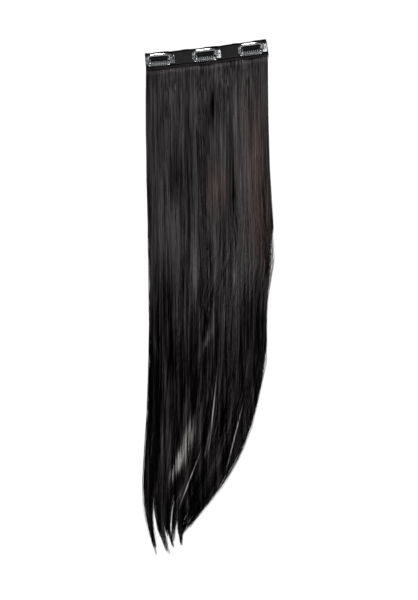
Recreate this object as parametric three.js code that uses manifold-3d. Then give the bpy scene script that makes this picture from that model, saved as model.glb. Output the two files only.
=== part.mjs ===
// A clip-in hair extension: one straight black weft on a stitched cloth band, with three
// sprung metal snap combs sewn along the band. It lies flat, clips up, hair falling along -Y.
// Millimetres, +Z up. The origin is on the surface, under the middle of the band.
import * as THREE from "three";
import { mergeVertices } from "three/addons/utils/BufferGeometryUtils.js";
import Module from "manifold-3d";

const wasm = await Module();
wasm.setup();

// Band: the hair is stitched into a flat weft, and a cloth tape covers it.
const BAND_LENGTH = 136.4;
const BAND_TILT = THREE.MathUtils.degToRad(6.7); // the band lies a little askew of the hair
const BAND_SAG = 1.2; // how far the middle lies below a line through the ends
const BAND_STEPS = 8;
const TAPE_WIDTH = 17;
const TAPE_THICKNESS = 1.2;
const HEM_WIDTH = 1.7;
const HEM_RISE = 0.3; // the folded hems stand this much above the tape
const WEFT_THICKNESS = 1.6;
const WEFT_REVEAL = 1.4; // stitched weft showing below the tape
const WEFT_INSET = 1.5; // the weft stops this far short of the tape's upper edge
const WEFT_ROUND = 0.5;
const LAYER_GAP = 0.3; // between pieces that lie on each other

// Hair: locks fused to the weft. They fall HAIR_DROP and are shaped by the tables below.
const HAIR_DROP = 538;
const ROOT_TUCK = 1; // the locks start this far above the tape's lower edge
const LOCK_THICKNESS = 3.3; // of the lowest layer's locks
const ROOT_THICKNESS = 1.4;
const FLOOR_CLEARANCE = 0.05;
const TIP_WIDTH = 0.9;
const TIP_THICKNESS = 0.5;
const HOOK_START = 0.8; // share of a lock's length where its tip begins to hook
const SWAY_WAVES = 1.2; // along a lock
const SWAY_START = 0.3; // share of the length over which the sway grows to its full size
const CROSS_START = 0.35; // shares of the length between which a lock crosses the others
const CROSS_END = 0.75;
const ROOT_TURN = 0.12; // share of the length over which a lock turns square to its path
const THIN_START = 0.5; // share of the length from which its least thickness falls away
const CLOSEST_GATHER = 0.4; // locks gather no closer than this where the outline narrows
const PATH_STEP = 0.01;

// Snap clip: a stamped ring with sewing holes and an end tab, and a comb pinned to it.
const CLIP_COUNT = 3;
const CLIP_LENGTH = 32;
const CLIP_WIDTH = 13;
const CLIP_END_MARGIN = 0.7; // from the band's end to the outermost clip
const STEEL = 0.6;
const ARM_WIDTH = 3.6;
const ARM_CROWN = 0.5; // the ring's strip is domed across its width
const ARCH_RISE = 1.4; // the clip bows up along its length
const CORNER_RADIUS = 3.2; // at the middle of the strip
const CORNER_STEPS = 4;
const ARM_STEPS = 5;
const SEW_HOLE_RADIUS = 0.5;
const SEW_HOLE_SHIFT = 0.7; // towards the strip's outer edge
const SEW_HOLES_ABOVE = [-4, 0, 4]; // along the upper arm, in tooth pitches from the middle
const SEW_HOLES_BELOW = [-2.5, 2.5]; // along the lower arm, between the teeth
const TAB_LENGTH = 5;
const TAB_REACH = 3; // how far the tab stands past the ring
const TAB_WIDTH = 9;
const TAB_SHIFT = -0.7; // the tab sits low of the clip's middle line
const TAB_BASE = 0.35;
const TAB_THICKNESS = 1;
const TAB_HOLE_RADIUS = 0.8;
const NOTCH_WIDTH = 2.2;
const NOTCH_DEPTH = 2;
const NOTCH_SHIFT = 0.5; // from the tab's middle towards its end

// Pin and ears at the tab, which the comb turns on.
const PIN_RADIUS = 0.45;
const PIN_HEAD_RADIUS = 0.85;
const PIN_HEAD_LENGTH = 0.4;
const PIN_CLEARANCE = 0.25;
const EAR_RADIUS = 1.1;
const EAR_THICKNESS = 0.7;
const KNUCKLE_RADIUS = 1.1;
const KNUCKLE_WIDTH = 2.2;
const RUNNING_GAP = 0.3;

// Comb: a spine in the ring's window, with teeth that close over the lower arm.
const SPINE_WIDTH = 2;
const SPINE_END_GAP = 0.6; // from the spine's free end to the ring
const TOOTH_COUNT = 9;
const TOOTH_END_MARGIN = 0.35; // from the sleeve's ends to the end teeth
const TOOTH_WIDTH = 1.1;
const TOOTH_ROOT_THICKNESS = 0.54; // a little under the spine's, where they join
const TOOTH_BEND_THICKNESS = 0.48;
const TOOTH_BEND_INSET = 0.2; // the teeth turn down this far inside the arm's outer edge
const TOOTH_BEND_LIFT = 0.1;
const TOOTH_TIP_WIDTH = 0.7;
const TOOTH_TIP_THICKNESS = 0.4;
const TOOTH_TIP_DROP = 0.6; // the tips curl down past the arm's outer edge
const SLEEVE_RADIUS = 1.8; // black silicone sleeve on the spine
const SLEEVE_LIFT = 0.5; // its underside above the ring's own level
const SLEEVE_SLOT = 1.2;
const SLEEVE_SLOT_DEPTH = 2.7;
const SLEEVE_END_MARGIN = 1; // from the spine's free end, and from the ring's end bar
const SLEEVE_STEPS = 9;
const COMB_STEPS = 10;
const HOLE_SIDES = 6;
const PIN_SIDES = 10;
const KNUCKLE_SIDES = 12;

const COLOURS = { hair: 0x1b1819, tape: 0x262425, steel: 0xc9cbcd, silicone: 0x0b0b0c };

// The weft's outline. down: share of the drop. left, right: the edges, in half band lengths.
const OUTLINE = [
  { down: 0.0, left: -1.0, right: 1.0 },
  { down: 0.1, left: -0.99, right: 0.99 },
  { down: 0.2, left: -0.975, right: 1.01 },
  { down: 0.3, left: -0.96, right: 1.02 },
  { down: 0.4, left: -0.95, right: 1.13 },
  { down: 0.5, left: -0.95, right: 0.94 },
  { down: 0.6, left: -0.965, right: 0.98 },
  { down: 0.7, left: -1.0, right: 0.85 },
  { down: 0.8, left: -1.035, right: 0.625 },
  { down: 0.9, left: -1.055, right: 0.18 },
  { down: 1.0, left: -1.0, right: -0.39 },
];

// Stations along a lock. share: of its length. width, thickness: of the lock's own.
// lift: of its layer's height.
const STATIONS = [
  { share: 0.0, width: 0.9, thickness: 0, lift: 0 },
  { share: 0.014, width: 0.92, thickness: 0.05, lift: 0.02 },
  { share: 0.04, width: 0.95, thickness: 0.45, lift: 0.4 },
  { share: 0.09, width: 1, thickness: 0.9, lift: 0.85 },
  { share: 0.18, width: 1, thickness: 1, lift: 1 },
  { share: 0.3, width: 1, thickness: 1, lift: 1 },
  { share: 0.42, width: 1.02, thickness: 1, lift: 0.95 },
  { share: 0.53, width: 1, thickness: 1, lift: 0.9 },
  { share: 0.65, width: 0.98, thickness: 0.95, lift: 0.8 },
  { share: 0.76, width: 0.88, thickness: 0.85, lift: 0.6 },
  { share: 0.87, width: 0.76, thickness: 0.65, lift: 0.3 },
  { share: 0.945, width: 0.42, thickness: 0.45, lift: 0.12 },
  { share: 1.0, width: 0, thickness: 0, lift: 0 },
];

// Layers of locks, from the surface up. height: of the middle of its locks, and thickness, in
// lock thicknesses. root: thickness under the tape, in root thicknesses.
const LAYERS = [
  { height: 0.52, thickness: 1.0, root: 1.0 },
  { height: 1.12, thickness: 0.9, root: 0.92 },
  { height: 1.68, thickness: 0.75, root: 0.84 },
  { height: 2.15, thickness: 0.75, root: 0.76 },
];

// Locks. at: share across the band. reach: share of the drop. width, sway, cross, hook in
// shares of the band's length: sway bows the lock from side to side, cross carries it over its
// neighbours, and hook bends its tip sideways.
const LOCKS = [
  { at: 0.08, layer: 0, reach: 1.01, width: 0.17, sway: -0.006, cross: 0, hook: 0.06 },
  { at: 0.2, layer: 0, reach: 1.02, width: 0.18, sway: 0.008, cross: 0, hook: 0.12 },
  { at: 0.33, layer: 0, reach: 1.0, width: 0.18, sway: -0.01, cross: 0, hook: 0.1 },
  { at: 0.45, layer: 0, reach: 0.985, width: 0.18, sway: 0.006, cross: 0, hook: 0.06 },
  { at: 0.57, layer: 0, reach: 1.005, width: 0.18, sway: -0.006, cross: 0, hook: 0.13 },
  { at: 0.69, layer: 0, reach: 0.93, width: 0.18, sway: 0.01, cross: 0, hook: 0.01 },
  { at: 0.81, layer: 0, reach: 0.98, width: 0.18, sway: -0.004, cross: 0, hook: 0.01 },
  { at: 0.92, layer: 0, reach: 0.98, width: 0.16, sway: 0, cross: 0, hook: 0 },
  { at: 0.13, layer: 1, reach: 0.93, width: 0.14, sway: 0.012, cross: 0, hook: 0.05 },
  { at: 0.27, layer: 1, reach: 0.99, width: 0.13, sway: -0.012, cross: 0, hook: 0.1 },
  { at: 0.4, layer: 1, reach: 0.9, width: 0.14, sway: 0.014, cross: 0, hook: -0.02 },
  { at: 0.52, layer: 1, reach: 1.0, width: 0.13, sway: 0.01, cross: 0, hook: 0.1 },
  { at: 0.65, layer: 1, reach: 0.91, width: 0.14, sway: -0.014, cross: 0, hook: 0.03 },
  { at: 0.77, layer: 1, reach: 0.95, width: 0.13, sway: 0.012, cross: 0, hook: 0.06 },
  { at: 0.885, layer: 1, reach: 0.9, width: 0.13, sway: -0.008, cross: 0, hook: -0.02 },
  { at: 0.2, layer: 2, reach: 0.84, width: 0.1, sway: -0.02, cross: 0, hook: 0.03 },
  { at: 0.45, layer: 2, reach: 0.88, width: 0.1, sway: 0.014, cross: 0.06, hook: -0.04 },
  { at: 0.83, layer: 2, reach: 0.87, width: 0.09, sway: -0.016, cross: -0.03, hook: -0.03 },
  { at: 0.64, layer: 3, reach: 0.84, width: 0.09, sway: 0.01, cross: -0.2, hook: 0.04 },
];

// A lock's section, flattened: across and up, in halves of its width and thickness.
const LOCK_SECTION = [
  [-1, 0],
  [-0.6, -0.8],
  [0.6, -0.8],
  [1, 0],
  [0.55, 0.76],
  [0, 1],
  [-0.55, 0.76],
];

const vector = (x, y, z) => new THREE.Vector3(x, y, z);
const up = vector(0, 0, 1);

// A closed mesh through equal rings of points: capped at both ends, or closed on itself.
// outline is the ring in its own plane, which gives the caps their triangles.
function loft(rings, outline, closed = false) {
  const count = outline.length;
  const positions = rings.flatMap((ring) => ring.flatMap((p) => p.toArray()));
  const index = [];
  const last = closed ? rings.length : rings.length - 1;
  for (let i = 0; i < last; i++) {
    const here = i * count;
    const next = ((i + 1) % rings.length) * count;
    for (let j = 0; j < count; j++) {
      const k = (j + 1) % count;
      index.push(here + j, here + k, next + k, here + j, next + k, next + j);
    }
  }
  if (!closed) {
    const flat = outline.map(([across, height]) => new THREE.Vector2(across, height));
    const end = (rings.length - 1) * count;
    for (const [a, b, c] of THREE.ShapeUtils.triangulateShape(flat, [])) {
      index.push(a, c, b, end + a, end + b, end + c);
    }
  }
  const geometry = new THREE.BufferGeometry();
  geometry.setAttribute("position", new THREE.Float32BufferAttribute(positions, 3));
  geometry.setIndex(index);
  return geometry;
}

// A ring of points: outline spread along side and over, from a centre.
function ringOf(outline, centre, side, over, width = 1, height = 1) {
  return outline.map(([a, b]) =>
    centre.clone().addScaledVector(side, a * width).addScaledVector(over, b * height),
  );
}

// A geometry as a solid, with its faces turned outward, and a solid as a geometry.
function solidOf(geometry) {
  const bare = new THREE.BufferGeometry();
  bare.setAttribute("position", geometry.getAttribute("position"));
  bare.setIndex(geometry.index);
  const merged = mergeVertices(bare, 1e-4);
  const vertProperties = merged.getAttribute("position").array;
  const triVerts = new Uint32Array(merged.index.array);
  const solid = new wasm.Manifold(new wasm.Mesh({ numProp: 3, vertProperties, triVerts }));
  if (solid.volume() > 0) return solid;
  triVerts.reverse();
  return new wasm.Manifold(new wasm.Mesh({ numProp: 3, vertProperties, triVerts }));
}

function geometryOf(solid) {
  const mesh = solid.getMesh();
  const geometry = new THREE.BufferGeometry();
  const positions = Float32Array.from(mesh.vertProperties);
  geometry.setAttribute("position", new THREE.BufferAttribute(positions, 3));
  geometry.setIndex(new THREE.BufferAttribute(Uint32Array.from(mesh.triVerts), 1));
  return geometry;
}

function fuse(geometries) {
  return geometries.map(solidOf).reduce((whole, piece) => whole.add(piece));
}

// The outer shell alone, with the pockets sealed inside it filled.
function filled(solid) {
  return solid.decompose().reduce((a, b) => (b.volume() > a.volume() ? b : a));
}

function meshOf(name, solid, look) {
  const mesh = new THREE.Mesh(geometryOf(solid), look);
  mesh.name = name;
  return mesh;
}

const looks = {
  hair: new THREE.MeshStandardMaterial({ color: COLOURS.hair, roughness: 0.42 }),
  tape: new THREE.MeshStandardMaterial({ color: COLOURS.tape, roughness: 0.9 }),
  steel: new THREE.MeshStandardMaterial({ color: COLOURS.steel, roughness: 0.22, metalness: 1 }),
  silicone: new THREE.MeshStandardMaterial({ color: COLOURS.silicone, roughness: 0.5 }),
};

// A place on the band's middle line: the point, and the directions along and across it.
const BAND_RADIUS = (BAND_LENGTH / 2) ** 2 / (2 * BAND_SAG);

function bandPlace(along) {
  const turn = along / BAND_RADIUS;
  const angle = turn + BAND_TILT;
  const point = vector(Math.sin(turn), 1 - Math.cos(turn), 0).multiplyScalar(BAND_RADIUS);
  return {
    point: point.applyAxisAngle(up, BAND_TILT),
    angle,
    side: vector(Math.cos(angle), Math.sin(angle), 0),
    across: vector(-Math.sin(angle), Math.cos(angle), 0),
  };
}

function bandSweep(outline) {
  const rings = [];
  for (let i = 0; i <= BAND_STEPS; i++) {
    const place = bandPlace((i / BAND_STEPS - 0.5) * BAND_LENGTH);
    rings.push(ringOf(outline, place.point, place.across, up));
  }
  return loft(rings, outline);
}

// The stitched weft that the hair is sewn into, flat on the surface.
function weftHead() {
  const low = -TAPE_WIDTH / 2 - WEFT_REVEAL;
  const high = TAPE_WIDTH / 2 - WEFT_INSET;
  return bandSweep([
    [low, 0],
    [high, 0],
    [high, WEFT_THICKNESS],
    [low + WEFT_ROUND, WEFT_THICKNESS],
    [low, WEFT_THICKNESS - WEFT_ROUND],
  ]);
}

// The cloth tape over the weft, thicker where its long edges are folded.
const TAPE_BASE = WEFT_THICKNESS + LAYER_GAP;
const TAPE_TOP = TAPE_BASE + TAPE_THICKNESS;

function clothTape() {
  const edge = TAPE_WIDTH / 2;
  const hem = edge - HEM_WIDTH;
  const hemTop = TAPE_TOP + HEM_RISE;
  const hemSlope = HEM_RISE;
  return bandSweep([
    [-edge, TAPE_BASE],
    [edge, TAPE_BASE],
    [edge, hemTop - hemSlope],
    [edge - hemSlope, hemTop],
    [hem + hemSlope, hemTop],
    [hem, TAPE_TOP],
    [-hem, TAPE_TOP],
    [-hem - hemSlope, hemTop],
    [-edge + hemSlope, hemTop],
    [-edge, hemTop - hemSlope],
  ]);
}

// The outline's edge at a share of the drop, on a smooth curve through the table's rows.
function edgeAt(key, down) {
  const place = Math.min(Math.max(down, 0), 1) * (OUTLINE.length - 1);
  const i = Math.min(Math.floor(place), OUTLINE.length - 2);
  const row = (k) => OUTLINE[Math.min(Math.max(k, 0), OUTLINE.length - 1)][key];
  const t = place - i;
  const [a, b, c, d] = [row(i - 1), row(i), row(i + 1), row(i + 2)];
  const bend = 2 * a - 5 * b + 4 * c - d;
  const turn = 3 * b - a - 3 * c + d;
  return b + 0.5 * t * (c - a + t * (bend + t * turn));
}

const smooth = (from, to, x) => THREE.MathUtils.smoothstep(x, from, to);

// A point of a lock's middle line, and the room that the outline leaves it there.
function lockPlace(lock, share) {
  const down = share * lock.reach;
  const left = edgeAt("left", down);
  const right = edgeAt("right", down);
  const root = bandPlace((lock.at - 0.5) * BAND_LENGTH);
  const start = root.point.clone().addScaledVector(root.across, ROOT_TUCK - TAPE_WIDTH / 2);
  const flow = (left + (right - left) * lock.at - (2 * lock.at - 1)) / 2;
  const sway = lock.sway * Math.sin(share * SWAY_WAVES * 2 * Math.PI) * smooth(0, SWAY_START, share);
  const hook = lock.hook * (Math.max(0, share - HOOK_START) / (1 - HOOK_START)) ** 2;
  const cross = lock.cross * smooth(CROSS_START, CROSS_END, share) * ((right - left) / 2);
  const aside = (flow + sway + cross + hook) * BAND_LENGTH;
  const drift = vector(aside, -down * HAIR_DROP, 0);
  return { point: start.add(drift), side: root.side, room: (right - left) / 2 };
}

function hairLock(lock) {
  const layer = LAYERS[lock.layer];
  const rings = STATIONS.map(({ share, width, thickness, lift }) => {
    const { point, side, room } = lockPlace(lock, share);
    const ahead = lockPlace(lock, share + PATH_STEP).point;
    const behind = lockPlace(lock, share - PATH_STEP).point;
    const path = ahead.sub(behind).normalize();
    const square = vector(-path.y, path.x, 0);
    const across = side.clone().lerp(square, smooth(0, ROOT_TURN, share)).normalize();
    const gather = Math.min(1, Math.max(CLOSEST_GATHER, room));
    const wide = Math.max(TIP_WIDTH, lock.width * BAND_LENGTH * width * gather);
    const root = ROOT_THICKNESS * layer.root * (1 - smooth(THIN_START, 1, share));
    const full = root + (layer.thickness * LOCK_THICKNESS - root) * thickness;
    const thick = Math.max(TIP_THICKNESS, full);
    const rootHeight = FLOOR_CLEARANCE + ROOT_THICKNESS / 2;
    const raised = rootHeight + (layer.height * LOCK_THICKNESS - rootHeight) * lift;
    point.z = Math.max(FLOOR_CLEARANCE + thick / 2, raised);
    return ringOf(LOCK_SECTION, point, across, up, wide / 2, thick / 2);
  });
  return loft(rings, LOCK_SECTION);
}

// The clip's own frame: x along it towards the tab, y towards the band's top, z off its seat.
const RING_LENGTH = CLIP_LENGTH - TAB_REACH;
const RING_CENTRE = -TAB_REACH / 2;
const RING_END = RING_CENTRE + RING_LENGTH / 2;
const RING_START = RING_CENTRE - RING_LENGTH / 2;
const WINDOW_END = RING_END - ARM_WIDTH;
const WINDOW_START = RING_START + ARM_WIDTH;
const WINDOW_HALF = CLIP_WIDTH / 2 - ARM_WIDTH;
const TAB_TOP = TAB_BASE + TAB_THICKNESS;
const TAB_START = RING_END + TAB_REACH - TAB_LENGTH;
const PIN_X = TAB_START + EAR_RADIUS;
const PIN_HEIGHT = TAB_TOP + RUNNING_GAP + KNUCKLE_RADIUS;
const EAR_INNER = KNUCKLE_WIDTH / 2 + RUNNING_GAP;
const EAR_OUTER = EAR_INNER + EAR_THICKNESS;
const SPINE_LEVEL = SLEEVE_LIFT + SLEEVE_RADIUS;
const SPINE_START = WINDOW_START + SPINE_END_GAP;
const COMB_END = WINDOW_END - SLEEVE_END_MARGIN;
const COMB_CENTRE = (SPINE_START + COMB_END) / 2;
const TOOTH_RUN = COMB_END - SPINE_START - TOOTH_WIDTH - 2 * TOOTH_END_MARGIN;
const TOOTH_PITCH = TOOTH_RUN / (TOOTH_COUNT - 1);

function arch(x) {
  const away = (2 * (x - RING_CENTRE)) / RING_LENGTH;
  return ARCH_RISE * Math.max(0, 1 - away * away);
}

// The ring: a domed strip swept round a rectangle with round corners.
function clipRing() {
  const half = ARM_WIDTH / 2;
  const shoulder = STEEL + ARM_CROWN * 0.75; // of the dome, halfway to the strip's edge
  const section = [
    [half, 0],
    [half, STEEL],
    [half / 2, shoulder],
    [0, STEEL + ARM_CROWN],
    [-half / 2, shoulder],
    [-half, STEEL],
    [-half, 0],
    [0, ARM_CROWN / 2],
  ];
  const corner = Math.min(CORNER_RADIUS, CLIP_WIDTH / 2 - half - RUNNING_GAP);
  const reach = RING_LENGTH / 2 - half - corner;
  const rise = CLIP_WIDTH / 2 - half - corner;
  const path = [];
  [[1, 1], [-1, 1], [-1, -1], [1, -1]].forEach(([x, y], quarter) => {
    const centre = vector(RING_CENTRE + x * reach, y * rise, 0);
    for (let i = 0; i <= CORNER_STEPS; i++) {
      const angle = ((quarter + i / CORNER_STEPS) * Math.PI) / 2;
      const out = vector(Math.cos(angle), Math.sin(angle), 0);
      path.push({ point: centre.clone().addScaledVector(out, corner), out });
    }
    // The long arms follow the first and third corners.
    const { point, out } = path.at(-1);
    for (let i = 1; i < ARM_STEPS && quarter % 2 === 0; i++) {
      const along = x * reach * (1 - (2 * i) / ARM_STEPS);
      path.push({ point: point.clone().setX(RING_CENTRE + along), out });
    }
  });
  const rings = path.map(({ point, out }) => {
    point.z = arch(point.x);
    return ringOf(section, point, out, up);
  });
  return loft(rings, section, true);
}

// A round bar along y, for bores and knuckles, or along z, for holes.
function bar(radius, length, x, y, z, alongY, sides = PIN_SIDES) {
  const geometry = new THREE.CylinderGeometry(radius, radius, length, sides);
  if (!alongY) geometry.rotateX(Math.PI / 2);
  geometry.translate(x, y, z);
  return solidOf(geometry);
}

// The flat end tab, with its eyelet hole and forked foot.
function clipTab() {
  const high = TAB_SHIFT + TAB_WIDTH / 2;
  const low = TAB_SHIFT - TAB_WIDTH / 2;
  const end = TAB_START + TAB_LENGTH;
  const middle = (TAB_START + end) / 2 + NOTCH_SHIFT;
  const shape = new THREE.Shape();
  shape.moveTo(TAB_START, high);
  shape.lineTo(TAB_START, low);
  shape.lineTo(middle - NOTCH_WIDTH / 2, low);
  shape.lineTo(middle, low + NOTCH_DEPTH);
  shape.lineTo(middle + NOTCH_WIDTH / 2, low);
  shape.lineTo(end, low);
  shape.lineTo(end, high - TAB_HOLE_RADIUS);
  shape.lineTo(end - TAB_HOLE_RADIUS, high);
  shape.closePath();
  const plate = new THREE.ExtrudeGeometry(shape, { depth: TAB_THICKNESS, bevelEnabled: false });
  plate.translate(0, 0, TAB_BASE);
  const holeX = end - 2 * TAB_HOLE_RADIUS;
  const hole = bar(TAB_HOLE_RADIUS, CLIP_WIDTH, holeX, 0, 0, false);
  return solidOf(plate).subtract(hole);
}

// An ear: a round-topped plate standing on the tab, which carries one end of the pin.
function clipEar(side) {
  const shape = new THREE.Shape();
  const foot = TAB_TOP - TAB_THICKNESS / 2;
  shape.moveTo(PIN_X - EAR_RADIUS, foot);
  shape.lineTo(PIN_X + EAR_RADIUS, foot);
  shape.lineTo(PIN_X + EAR_RADIUS, PIN_HEIGHT);
  shape.absarc(PIN_X, PIN_HEIGHT, EAR_RADIUS, 0, Math.PI, false);
  shape.closePath();
  const options = { depth: EAR_THICKNESS, bevelEnabled: false, curveSegments: 6 };
  const plate = new THREE.ExtrudeGeometry(shape, options);
  plate.rotateX(Math.PI / 2);
  plate.translate(0, side > 0 ? EAR_OUTER : -EAR_INNER, 0);
  return plate;
}

function clipFrame() {
  const solid = fuse([clipRing(), clipEar(1), clipEar(-1)]).add(clipTab());
  const bore = bar(PIN_RADIUS + PIN_CLEARANCE, CLIP_WIDTH, PIN_X, 0, PIN_HEIGHT, true);
  const armLine = CLIP_WIDTH / 2 - ARM_WIDTH / 2 + SEW_HOLE_SHIFT;
  const holeX = (step) => COMB_CENTRE + step * TOOTH_PITCH;
  const holes = [
    ...SEW_HOLES_ABOVE.map((step) => [holeX(step), armLine]),
    ...SEW_HOLES_BELOW.map((step) => [holeX(step), -armLine]),
    [RING_START + ARM_WIDTH / 2 - SEW_HOLE_SHIFT, 0],
  ];
  return holes.reduce(
    (whole, [x, y]) => whole.subtract(bar(SEW_HOLE_RADIUS, CLIP_WIDTH, x, y, 0, false, HOLE_SIDES)),
    solid.subtract(bore),
  );
}

// The spine's middle height along the clip.
function spineHeight(x) {
  return SPINE_LEVEL + arch(x);
}

function spineSteps(from, to) {
  return Array.from({ length: COMB_STEPS + 1 }, (_, i) => from + ((to - from) * i) / COMB_STEPS);
}

const FLAT = [
  [-0.5, -0.5],
  [0.5, -0.5],
  [0.5, 0.5],
  [-0.5, 0.5],
];
const yAxis = vector(0, 1, 0);
const xAxis = vector(1, 0, 0);

function combSpine() {
  const rings = spineSteps(SPINE_START, WINDOW_END).map((x) =>
    ringOf(FLAT, vector(x, 0, spineHeight(x)), yAxis, up, SPINE_WIDTH, STEEL),
  );
  rings.push(ringOf(FLAT, vector(PIN_X, 0, PIN_HEIGHT), yAxis, up, SPINE_WIDTH, STEEL));
  return loft(rings, FLAT);
}

// A tooth: out of the spine, over the domed lower arm, and down past its outer edge.
function combTooth(x) {
  const over = STEEL + RUNNING_GAP + STEEL / 2;
  const armMiddle = WINDOW_HALF + ARM_WIDTH / 2;
  const edge = CLIP_WIDTH / 2;
  const path = [
    { y: 0, z: SPINE_LEVEL, width: TOOTH_WIDTH, thickness: TOOTH_ROOT_THICKNESS },
    { y: -WINDOW_HALF, z: SPINE_LEVEL - STEEL / 4, width: TOOTH_WIDTH, thickness: STEEL },
    { y: -armMiddle, z: over + ARM_CROWN, width: TOOTH_WIDTH, thickness: STEEL },
    {
      y: -edge + TOOTH_BEND_INSET,
      z: over + TOOTH_BEND_LIFT,
      width: TOOTH_WIDTH,
      thickness: TOOTH_BEND_THICKNESS,
    },
    {
      y: -edge - RUNNING_GAP - TOOTH_TIP_THICKNESS,
      z: over - TOOTH_TIP_DROP,
      width: TOOTH_TIP_WIDTH,
      thickness: TOOTH_TIP_THICKNESS,
    },
  ];
  const points = path.map(({ y, z }) => vector(x, y, z + arch(x)));
  const rings = path.map(({ width, thickness }, i) => {
    const before = points[Math.max(i - 1, 0)];
    const after = points[Math.min(i + 1, points.length - 1)];
    const along = after.clone().sub(before).normalize();
    const face = along.clone().cross(xAxis).normalize();
    return ringOf(FLAT, points[i], xAxis, face, width, thickness);
  });
  return loft(rings, FLAT);
}

function clipComb() {
  const firstTooth = COMB_CENTRE - ((TOOTH_COUNT - 1) / 2) * TOOTH_PITCH;
  const teeth = Array.from({ length: TOOTH_COUNT }, (_, i) =>
    combTooth(firstTooth + i * TOOTH_PITCH),
  );
  const knuckle = bar(KNUCKLE_RADIUS, KNUCKLE_WIDTH, PIN_X, 0, PIN_HEIGHT, true, KNUCKLE_SIDES);
  const bore = bar(PIN_RADIUS + PIN_CLEARANCE, CLIP_WIDTH, PIN_X, 0, PIN_HEIGHT, true);
  return fuse([combSpine(), ...teeth]).add(knuckle).subtract(bore);
}

// The silicone sleeve: a round bar with a slot for the spine, open where the teeth come out.
function clipSleeve() {
  const outline = [];
  const lip = Math.asin(SLEEVE_SLOT / 2 / SLEEVE_RADIUS);
  for (let i = 0; i <= SLEEVE_STEPS; i++) {
    const angle = -Math.PI + lip + ((2 * Math.PI - 2 * lip) * i) / SLEEVE_STEPS;
    outline.push([SLEEVE_RADIUS * Math.cos(angle), SLEEVE_RADIUS * Math.sin(angle)]);
  }
  outline.push([SLEEVE_SLOT_DEPTH - SLEEVE_RADIUS + STEEL, SLEEVE_SLOT / 2]);
  outline.push([SLEEVE_SLOT_DEPTH - SLEEVE_RADIUS + STEEL, -SLEEVE_SLOT / 2]);
  const rings = spineSteps(SPINE_START + SLEEVE_END_MARGIN, COMB_END).map((x) =>
    ringOf(outline, vector(x, 0, spineHeight(x)), yAxis, up),
  );
  return solidOf(loft(rings, outline));
}

function clipPin() {
  const end = EAR_OUTER + LAYER_GAP + PIN_HEAD_LENGTH;
  const neck = end - PIN_HEAD_LENGTH;
  const profile = [
    [0, -end],
    [PIN_HEAD_RADIUS, -end],
    [PIN_HEAD_RADIUS, -neck],
    [PIN_RADIUS, -neck],
    [PIN_RADIUS, neck],
    [PIN_HEAD_RADIUS, neck],
    [PIN_HEAD_RADIUS, end],
    [0, end],
  ].map(([radius, y]) => new THREE.Vector2(radius, y));
  const pin = new THREE.LatheGeometry(profile, PIN_SIDES);
  pin.translate(PIN_X, 0, PIN_HEIGHT);
  return solidOf(pin);
}

const extension = new THREE.Group();

const hair = LOCKS.map(hairLock);
extension.add(meshOf("hair_weft", filled(fuse([weftHead(), ...hair])), looks.hair));
extension.add(meshOf("cloth_tape", solidOf(clothTape()), looks.tape));

const frame = clipFrame();
const comb = clipComb();
const sleeve = clipSleeve();
const pin = clipPin();
const firstClip = -(BAND_LENGTH - CLIP_LENGTH) / 2 + CLIP_END_MARGIN;
const clipPitch = (-2 * firstClip) / (CLIP_COUNT - 1);
for (let i = 0; i < CLIP_COUNT; i++) {
  const place = bandPlace(firstClip + i * clipPitch);
  const clip = new THREE.Group();
  clip.position.copy(place.point).setZ(TAPE_TOP + LAYER_GAP);
  clip.rotation.z = place.angle;
  clip.add(meshOf(`clip_${i + 1}_frame`, frame, looks.steel));
  clip.add(meshOf(`clip_${i + 1}_pin`, pin, looks.steel));
  clip.add(meshOf(`clip_${i + 1}_comb`, comb, looks.steel));
  clip.add(meshOf(`clip_${i + 1}_sleeve`, sleeve, looks.silicone));
  extension.add(clip);
}

export default extension;
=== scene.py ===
"""A straight black clip-in hair extension: one weft of long locks on a hemmed cloth tape, with
three pressed steel snap combs sewn along it. It lies flat, clips up. Metres, +Z up."""

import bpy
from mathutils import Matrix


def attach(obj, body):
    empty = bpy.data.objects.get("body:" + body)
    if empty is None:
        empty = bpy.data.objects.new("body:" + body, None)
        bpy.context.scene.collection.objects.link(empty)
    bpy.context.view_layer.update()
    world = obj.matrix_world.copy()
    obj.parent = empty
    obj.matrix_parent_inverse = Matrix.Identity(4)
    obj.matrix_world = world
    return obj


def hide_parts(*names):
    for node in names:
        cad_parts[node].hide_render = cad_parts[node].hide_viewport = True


bl_info = {
    "name": "Clip-in hair weft",
    "version": (1, 0, 0),
    "blender": (4, 5, 0),
    "location": "3D View > Sidebar > Hair weft",
    "description": "Models a clip-in hair weft: its strands, sewn tape and snap combs",
    "category": "Object",
}

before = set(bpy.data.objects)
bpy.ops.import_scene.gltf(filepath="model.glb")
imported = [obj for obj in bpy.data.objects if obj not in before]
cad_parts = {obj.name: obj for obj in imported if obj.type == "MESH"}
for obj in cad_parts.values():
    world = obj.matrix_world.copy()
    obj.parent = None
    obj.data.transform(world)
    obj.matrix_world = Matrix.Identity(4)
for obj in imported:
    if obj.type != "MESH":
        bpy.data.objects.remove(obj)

import math
from collections import namedtuple
from contextlib import contextmanager
from functools import partial

import bmesh
import bpy
import numpy as np
from bpy.props import FloatProperty, FloatVectorProperty, IntProperty, PointerProperty
from bpy.types import Operator, Panel, PropertyGroup
from mathutils import Matrix, Vector

MM = 0.001
ALONG_X = (0, math.pi / 2, 0)
ALONG_Y = (math.pi / 2, 0, 0)


def linear(hex_colour):
    """An sRGB hex colour as linear red, green and blue."""
    parts = [int(hex_colour[i : i + 2], 16) / 255 for i in (1, 3, 5)]
    return [c / 12.92 if c <= 0.04045 else ((c + 0.055) / 1.055) ** 2.4 for c in parts]


def distance(name, description, millimetres):
    return FloatProperty(
        name=name, description=description, default=millimetres * MM, unit="LENGTH", precision=5
    )


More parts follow.
